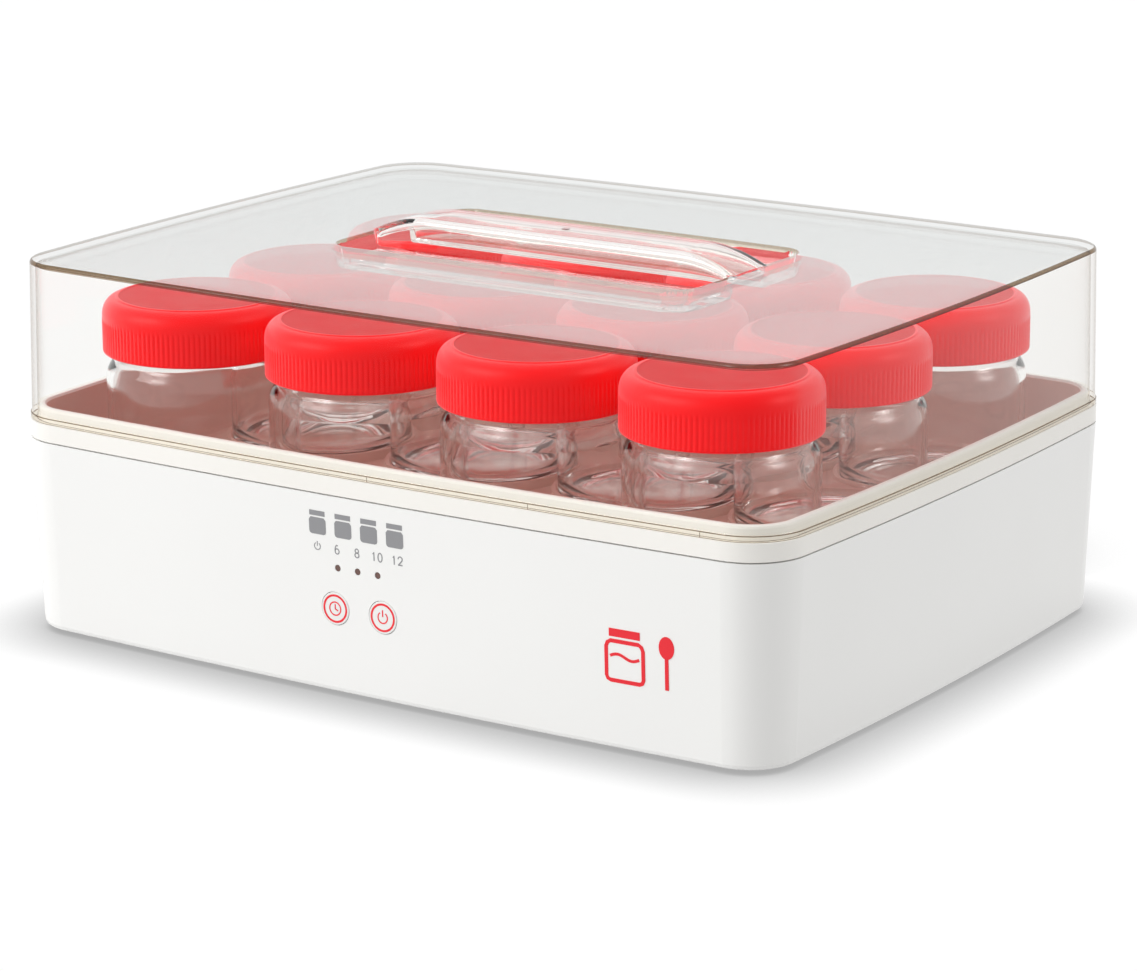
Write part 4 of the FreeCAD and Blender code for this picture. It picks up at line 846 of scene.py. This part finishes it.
def lid_mesh():
    """Two skins, each a grid, rings that spread to the outline and rings down the wall."""
    verts, faces = [], []
    grid_x, grid_y = np.meshgrid(GRID_X, GRID_Y, indexing="ij")
    edge_xy = np.array([(GRID_X[i], GRID_Y[j]) for i, j in PERIMETER])
    spread_steps = 12

    def join(a, b):
        for i in range(RING_COUNT):
            j = (i + 1) % RING_COUNT
            faces.append((a[i], b[i], b[j], a[j]))

    def add_ring(previous, xy, z):
        first = len(verts)
        verts.extend(np.column_stack([xy, z]).tolist())
        ring = range(first, first + RING_COUNT)
        join(previous, ring)
        return ring

    def add_skin(inner, levels):
        """Returns the skin's lowest ring."""
        first = len(verts)
        z = top_height(grid_x, grid_y, inner)
        verts.extend(np.stack([grid_x.ravel(), grid_y.ravel(), z.ravel()], 1).tolist())
        for i in range(COUNT_X - 1):
            for j in range(COUNT_Y - 1):
                a = first + i * COUNT_Y + j
                faces.append((a, a + COUNT_Y, a + COUNT_Y + 1, a + 1))
        ring = [first + i * COUNT_Y + j for i, j in PERIMETER]
        wall_xy = ring_at(levels[0][1])
        for step in range(1, spread_steps):
            t = step / spread_steps
            xy = edge_xy * (1 - t) + wall_xy * t
            ring = add_ring(ring, xy, top_height(xy[:, 0], xy[:, 1], inner))
        for level, growth in levels:
            ring = add_ring(ring, ring_at(growth), np.full(RING_COUNT, level))
        return ring

    outer_levels, inner_levels = lid_levels()
    outer_foot = add_skin(False, outer_levels)
    inner_foot = add_skin(True, inner_levels)
    join(outer_foot, inner_foot)
    return make_mesh("lid_mesh", np.array(verts) * MM, faces, 50.0)


def polygon_vectors(mesh, attribute):
    values = np.zeros(len(mesh.polygons) * 3)
    mesh.polygons.foreach_get(attribute, values)
    return values.reshape(-1, 3)


def finish_lid(mesh):
    """Clear finishes and painted refraction lines for the lid; each later rule wins over the ones
    before.
    """
    for material in (LID, LID_THIN, LID_EDGE, LID_RIM, LID_TOP, LID_TAN, LID_LINE):
        mesh.materials.append(material)
    bending, thin, edge, rim, top, tan, line = range(7)     # slots, in the order above

    x, y, z = (polygon_vectors(mesh, "center") / MM).T
    normal_z = polygon_vectors(mesh, "normal")[:, 2]
    tilt = np.abs(normal_z)
    well = box_distance(x, y, WELL_X, WELL_Y, WELL_R)
    on_bar = (np.abs(y) < BAR_Y + 1.3) & (z > crown(x, y) + 0.02) & (np.abs(x) < 86)
    well_or_bar = ((well < 0.0) | on_bar) & (z > 120)
    under = LID_HIGH - LID_WALL

    slots = np.full(len(mesh.polygons), thin)
    slots[well_or_bar] = bending
    slots[(z > 140) & (tilt > 0.95) & ~well_or_bar] = top
    # rounded top edge of the outer skin, then of the inner one: painted dark refraction lines
    slots[(z > LID_HIGH - 1.5) & (tilt > 0.14) & (tilt < 0.97) & ~well_or_bar
          & (normal_z > 0)] = edge
    slots[(z > under - 1.1) & (z < under + 0.1) & (tilt > 0.3) & (tilt < 0.93)
          & ~well_or_bar & (normal_z < 0) & (well > 30)] = line
    # flange, with painted dark refraction lines on its upper and lower edges
    slots[z < LID_STEP + 0.6] = rim
    slots[(z > LID_STEP - 0.32) & (z < LID_STEP - 0.03)] = edge
    slots[(z < LID_LOW + 0.28) & (z > LID_LOW + 0.01)] = edge
    # mouth of the well: a painted tan refraction line
    slots[(well > -0.75) & (well < 0.15) & (z > LID_HIGH - 1.6) & (normal_z > 0)
          & (np.abs(y) > BAR_Y + 1.2)] = tan
    mesh.polygons.foreach_set("material_index", slots.tolist())
    mesh.update()


def build_gate_mark():
    """The small round injection mark on the middle of the grip bar."""
    profile = [(0, 0.10), (0.9, 0.12), (1.35, 0.2), (1.6, 0.16), (1.75, 0.0), (1.5, -0.3),
               (0, -0.3)]               # r, z above the bar
    mesh = make_mesh("gate_mark_mesh", *lathe(profile, 32), 40.0, shade_again=False)
    mesh.materials.append(LID)
    place("lid_gate_mark", mesh, "lid", at=(0, 0, (BAR_TOP + 0.02) * MM))


def build_flange_ticks():
    """Three fine upright moulding lines on the front of the lid's flange."""
    half_width, low, high = 0.14, LID_LOW + 0.25, LID_STEP - 0.2
    corners = ((-half_width, low), (half_width, low), (half_width, high), (-half_width, high))
    ticks = []
    for x in (2.9, 72.5, 142.2):
        y = front_y(x, FLANGE_GROWTH)
        ticks.append([((x + dx, y + 0.03, z), (x + dx * 0.7, y - 0.08, z))
                      for dx, z in corners])
    place("lid_flange_ticks", prism_mesh("flange_ticks_mesh", ticks, TICK), "lid")


def build_lid():
    mesh = lid_mesh()
    finish_lid(mesh)
    place("lid_clear_shell", mesh, "lid", ("lid",))
    build_gate_mark()
    build_flange_ticks()


build_lid()

# ------------------------------------------------------------------ prints on the front
PRINT_SINK, PRINT_THICKNESS = 0.02, 0.07    # how far a print reaches into and out of its face
BUTTON_FACE_Y = -133.15
BUTTON_Z = 34.5
LEGEND_X, LEGEND_PITCH = -20.6, 9.0


def casing_y(x, z):
    """The casing's front surface."""
    return front_y(x, CASING_FOOT_GROWTH + CASING_FLARE * (z - CASING_FOOT_Z) / CASING_RISE)


def build_print(name, polygons, body, material, face_y=None):
    """Thin raised print from (x, z) polygons, on the casing or on a flat face at face_y."""
    prisms = []
    for polygon in polygons:
        pairs = []
        for x, z in polygon:
            y = casing_y(x, z) if face_y is None else face_y
            pairs.append(((x, y + PRINT_SINK, z), (x, y - PRINT_THICKNESS, z)))
        prisms.append(pairs)
    place(name, prism_mesh(name, prisms, material), body)


def stroke(points, width, closed=False):
    """A line of even width as a run of four-sided polygons."""
    points = [np.array(p, float) for p in points]
    count = len(points)
    left, right = [], []
    for i, point in enumerate(points):
        if closed:
            before, after = points[i - 1], points[(i + 1) % count]
        else:
            before, after = points[max(i - 1, 0)], points[min(i + 1, count - 1)]
        along = after - before
        along = along / (np.linalg.norm(along) + 1e-12)
        across = np.array([-along[1], along[0]])
        left.append(tuple(point + across * width / 2))
        right.append(tuple(point - across * width / 2))
    quads = []
    for i in range(count if closed else count - 1):
        j = (i + 1) % count
        quads.append([left[i], left[j], right[j], right[i]])
    return quads


def power_symbol(x, z, radius, steps, stem, width):
    """Ring open at the top with an upright stem; stem is its (low, high) above z."""
    low, high = stem
    return (stroke(arc(x, z, radius, 125, 415, steps), width)
            + stroke([(x, z + low), (x, z + high)], width))


def digit(figure, x, z, height):
    """One of the figures 0, 1, 2, 6 and 8 as strokes; x, z is its lower left corner."""
    width, line = height * 0.55, height * 0.13
    half, middle = width / 2, x + width / 2
    if figure == "1":
        return stroke([(x + width * 0.25, z + height * 0.78), (x + width * 0.55, z + height),
                       (x + width * 0.55, z)], line)
    if figure == "0":
        return stroke(oval(middle, z + height / 2, half, height / 2, 24), line, True)
    if figure == "2":
        hook = oval_arc(middle, z + height * 0.72, half, height * 0.28,
                        np.linspace(math.pi, -0.5, 12))
        foot_z = z + line * 0.3
        return (stroke(hook + [(x, z)], line)
                + stroke([(x - line * 0.2, foot_z), (x + width, foot_z)], line))
    if figure == "6":
        loop = oval(middle, z + height * 0.3, half, height * 0.3, 20)
        tail = oval_arc(middle, z + height * 0.3, -half, height * 0.7, np.linspace(0, 2.0, 10))
        return stroke(loop, line, True) + stroke(tail, line)
    lower = oval(middle, z + height * 0.27, half, height * 0.27, 20)
    upper = oval(middle, z + height * 0.77, width * 0.42, height * 0.23, 20)
    return stroke(lower, line, True) + stroke(upper, line, True)


def build_legend():
    """Power symbol and hour figures; the three lenses stand under the middle three."""
    height, low = 3.3, 55.7
    width = height * 0.55
    gap = width * 0.55
    marks = power_symbol(LEGEND_X, 57.4, radius=1.35, steps=20, stem=(0.0, 1.9), width=0.34)
    for k, text in enumerate(("6", "8", "10", "12"), start=1):
        total = len(text) * width + (len(text) - 1) * gap
        x = LEGEND_X + LEGEND_PITCH * k - total / 2
        for figure in text:
            marks += digit(figure, x, low, height)
            x += width + gap
    build_print("legend_print", marks, "base", PRINT_GREY)


def build_grey_pictogram():
    """A row of four small capped jars."""
    width, height, corner = 7.6, 6.4, 1.1
    low = 62.0
    high = low + height
    marks = []
    for k in range(4):
        left = -24.0 + k * 11.6
        right = left + width
        marks.append([
            (left + corner, low), (right - corner, low), (right - 0.3, low + 0.35),
            (right, low + corner), (right, high - 1.0), (right - 0.8, high),
            (left + 0.8, high), (left, high - 1.0), (left, low + corner),
            (left + 0.3, low + 0.35),
        ])
        marks.append([(left + 0.3, high + 0.65), (right - 0.3, high + 0.65),
                      (right - 0.3, high + 2.6), (left + 0.3, high + 2.6)])
    build_print("front_pictogram_grey", marks, "base", PRINT_GREY)


def build_red_pictogram():
    """A jar with a bar above it and a spoon beside it, at the right."""
    left, low = 104.0, 27.5

    def shifted(points):
        return [(left + x, low + z) for x, z in points]

    jar = [(0, 1.6), (0.5, 0.5), (1.6, 0), (13.4, 0), (14.5, 0.5), (15.0, 1.6), (15.0, 12.4),
           (14.4, 13.8), (13.2, 14.6), (1.8, 14.6), (0.6, 13.8), (0, 12.4)]
    bar = [(1.2, 16.2), (13.8, 16.2), (13.8, 19.2), (1.2, 19.2)]
    wave = [(1.6 + 11.8 * t, 9.0 + 0.9 * math.sin(t * 2 * math.pi))
            for t in np.linspace(0, 1, 16)]
    spoon_bowl = oval(24.5, 15.2, 3.1, 4.2, 28)
    spoon_handle = [(24.5, 11.6), (24.5, 6.0), (24.5, -0.3)]
    marks = stroke(shifted(jar), 1.5, True)
    marks.append(shifted(bar))
    marks += stroke(shifted(wave), 1.1)
    marks.append(shifted(spoon_bowl))
    marks += stroke(shifted(spoon_handle), 1.5)
    build_print("front_pictogram_red", marks, "base", PRINT_RED)


def clock_symbol(x, z):
    """Clock face with two hands."""
    width = 0.5
    return (stroke(oval(x, z, 2.5, 2.5, 36), width, True)
            + stroke([(x, z + 1.7), (x, z)], width)
            + stroke([(x - 0.1, z), (x + 1.3, z - 0.7)], width))


def build_button_prints():
    """A ring round a symbol on each button's flat face."""
    time_x, power_x = -13.4, 8.1
    power = power_symbol(power_x, BUTTON_Z, radius=2.1, steps=28, stem=(0.3, 2.9), width=0.5)
    for button, x, symbol in (("time_button", time_x, clock_symbol(time_x, BUTTON_Z)),
                              ("power_button", power_x, power)):
        ring = stroke(oval(x, BUTTON_Z, 5.0, 5.0, 56), 0.8, True)
        build_print(button + "_print", ring + symbol, button, PRINT_RED,
                    BUTTON_FACE_Y)


build_legend()
build_grey_pictogram()
build_red_pictogram()
build_button_prints()

# ------------------------------------------------------------------ studio, in metres
FLOOR_HALF_SIZE = 8.0
FLOOR_SHADE_REACH = 0.032       # how far contact shadows spread over the floor
FLOOR_SHADE_POWER = 1.8         # how fast they fade
FLOOR_DARKEST = 0.40            # floor brightness deep in a contact shadow
FLOOR_OPEN = 1.01               # floor brightness in the open
FLOOR_LIGHT = 0.72              # how much light the floor gives back to the objects
SKY = 0.375                     # even part of the sky's light
# Soft lobes: direction, strength, power (a higher power is narrower)
SKY_LOBES = (
    ((-0.64, -0.76, 0.25), 2.85, 6.0),
    ((0.82, 0.57, 0.30), 1.50, 6.0),
    ((0.0, 0.0, 1.0), 0.30, 3.0),
)
SOFT_BOXES = (((-0.34, -0.94, 0.62), 9.0, 60.0), ((0.95, 0.25, 0.52), 8.0, 60.0))
# What gloss sees low down: a pale table, darker between the two broad lights
FLOOR_MIRRORED = (((0.60, -0.80, 0.0), -0.60, 5.0),)


def lobes(tree, direction, base, items):
    """base plus soft lobes about fixed directions; direction is a unit vector socket."""
    total = base
    for lobe_direction, strength, power in items:
        dot = add_node(tree, "VectorMath", {0: direction, 1: Vector(lobe_direction).normalized()},
                       operation="DOT_PRODUCT")
        towards = calculate(tree, "MAXIMUM", dot.outputs["Value"], 0.0)
        narrowed = calculate(tree, "POWER", towards, power)
        total = calculate(tree, "MULTIPLY_ADD", narrowed, strength, total)
    return total


def by_ray(tree, rays, eye, diffuse, mirror):
    """One strength for what the eye sees, one for diffuse light and one for reflections."""
    matte = mix_values(tree, rays.outputs["Is Diffuse Ray"], eye, diffuse)
    return mix_values(tree, rays.outputs["Is Glossy Ray"], matte, mirror)


def floor_material():
    """Glowing white floor with contact shadows that only diffuse rays don't see."""
    material, tree = new_material("floor_pale")
    near = add_node(tree, "AmbientOcclusion", {"Distance": FLOOR_SHADE_REACH}, samples=12)
    soft = calculate(tree, "POWER", near.outputs["AO"], FLOOR_SHADE_POWER)
    shade = calculate(tree, "MULTIPLY_ADD", soft, FLOOR_OPEN - FLOOR_DARKEST, FLOOR_DARKEST)
    rays = add_node(tree, "LightPath")
    seen_shade = mix_values(tree, rays.outputs["Is Diffuse Ray"], shade, 1.0)
    slow = noise(tree, object_coords(tree), scale=3.0)
    pale = color_drift(tree, slow, (0.995, 0.995, 0.995), (1.0, 1.0, 1.0))
    lit = add_node(tree, "VectorMath", {0: pale, "Scale": seen_shade}, operation="SCALE")
    coords = add_node(tree, "TexCoord").outputs["Object"]
    outward = add_node(tree, "VectorMath", {0: coords}, operation="NORMALIZE")
    mirror = lobes(tree, outward.outputs["Vector"], 1.0, FLOOR_MIRRORED)
    level = by_ray(tree, rays, eye=1.0, diffuse=FLOOR_LIGHT, mirror=mirror)
    inputs = {"Color": lit.outputs["Vector"], "Strength": level}
    set_surface(tree, add_node(tree, "Emission", inputs))
    return material


def build_floor():
    s = FLOOR_HALF_SIZE
    mesh = bpy.data.meshes.new("floor_mesh")
    mesh.from_pydata([(-s, -s, 0), (s, -s, 0), (s, s, 0), (-s, s, 0)], [], [(0, 1, 2, 3)])
    mesh.materials.append(floor_material())
    floor = bpy.data.objects.new("floor", mesh)
    scene.collection.objects.link(floor)


def build_world():
    """White to the eye, a soft sky with broad lobes as a light, soft boxes in mirrors."""
    world = bpy.data.worlds.new("studio")
    world.use_nodes = True
    scene.world = world
    tree = world.node_tree
    background = tree.nodes["Background"]
    background.inputs["Color"].default_value = (1.0, 1.0, 1.0, 1.0)
    rays = add_node(tree, "LightPath")
    direction = add_node(tree, "TexCoord").outputs["Generated"]
    level = by_ray(tree, rays, eye=1.0, diffuse=lobes(tree, direction, SKY, SKY_LOBES),
                   mirror=lobes(tree, direction, 1.0, SOFT_BOXES))
    tree.links.new(level, background.inputs["Strength"])


def add_light(name, kind, location, target, **settings):
    light = bpy.data.lights.new(name, kind)
    for key, value in settings.items():
        setattr(light, key, value)
    lamp = bpy.data.objects.new(name, light)
    scene.collection.objects.link(lamp)
    lamp.location = location
    aim = Vector(target) - Vector(location)
    lamp.rotation_euler = aim.to_track_quat("-Z", "Y").to_euler()


def build_camera():
    """Long lens from the front right, turned left and tipped a little down."""
    yaw, pitch, roll = math.radians(33.623), math.radians(14.931), math.radians(-0.197)
    forward = Vector((-math.sin(yaw) * math.cos(pitch), math.cos(yaw) * math.cos(pitch),
                      -math.sin(pitch)))
    right = forward.cross(Vector((0, 0, 1))).normalized()
    up = right.cross(forward)
    rolled_right = right * math.cos(roll) + up * math.sin(roll)
    rolled_up = -right * math.sin(roll) + up * math.cos(roll)
    lens = bpy.data.cameras.new("camera")
    lens.sensor_fit = "HORIZONTAL"
    lens.sensor_width = 36.0
    lens.lens = 123.877
    lens.clip_start, lens.clip_end = 0.05, 50.0
    camera = bpy.data.objects.new("camera", lens)
    scene.collection.objects.link(camera)
    pose = Matrix((rolled_right, rolled_up, -forward)).transposed().to_4x4()
    pose.translation = Vector((0.81840, -1.22945, 0.44712))
    camera.matrix_world = pose
    scene.camera = camera


def set_render():
    scene.view_settings.view_transform = "Standard"
    scene.view_settings.look = "None"
    scene.view_settings.exposure = 0.0
    cycles = scene.cycles
    cycles.max_bounces = 24
    cycles.transmission_bounces = 20
    cycles.transparent_max_bounces = 24
    cycles.glossy_bounces = 8
    cycles.caustics_reflective = False
    cycles.caustics_refractive = False
    cycles.use_denoising = True


build_floor()
build_world()
add_light("soft_key", "SUN", location=(-0.30, -0.10, 1.0), target=(0, 0, 0),
          energy=0.40, angle=math.radians(42))
add_light("strip_left", "AREA", location=(-1.0, -1.2, 0.9), target=(0, 0, 0.1),
          shape="RECTANGLE", size=0.7, size_y=0.5, energy=4.0)
build_camera()
set_render()
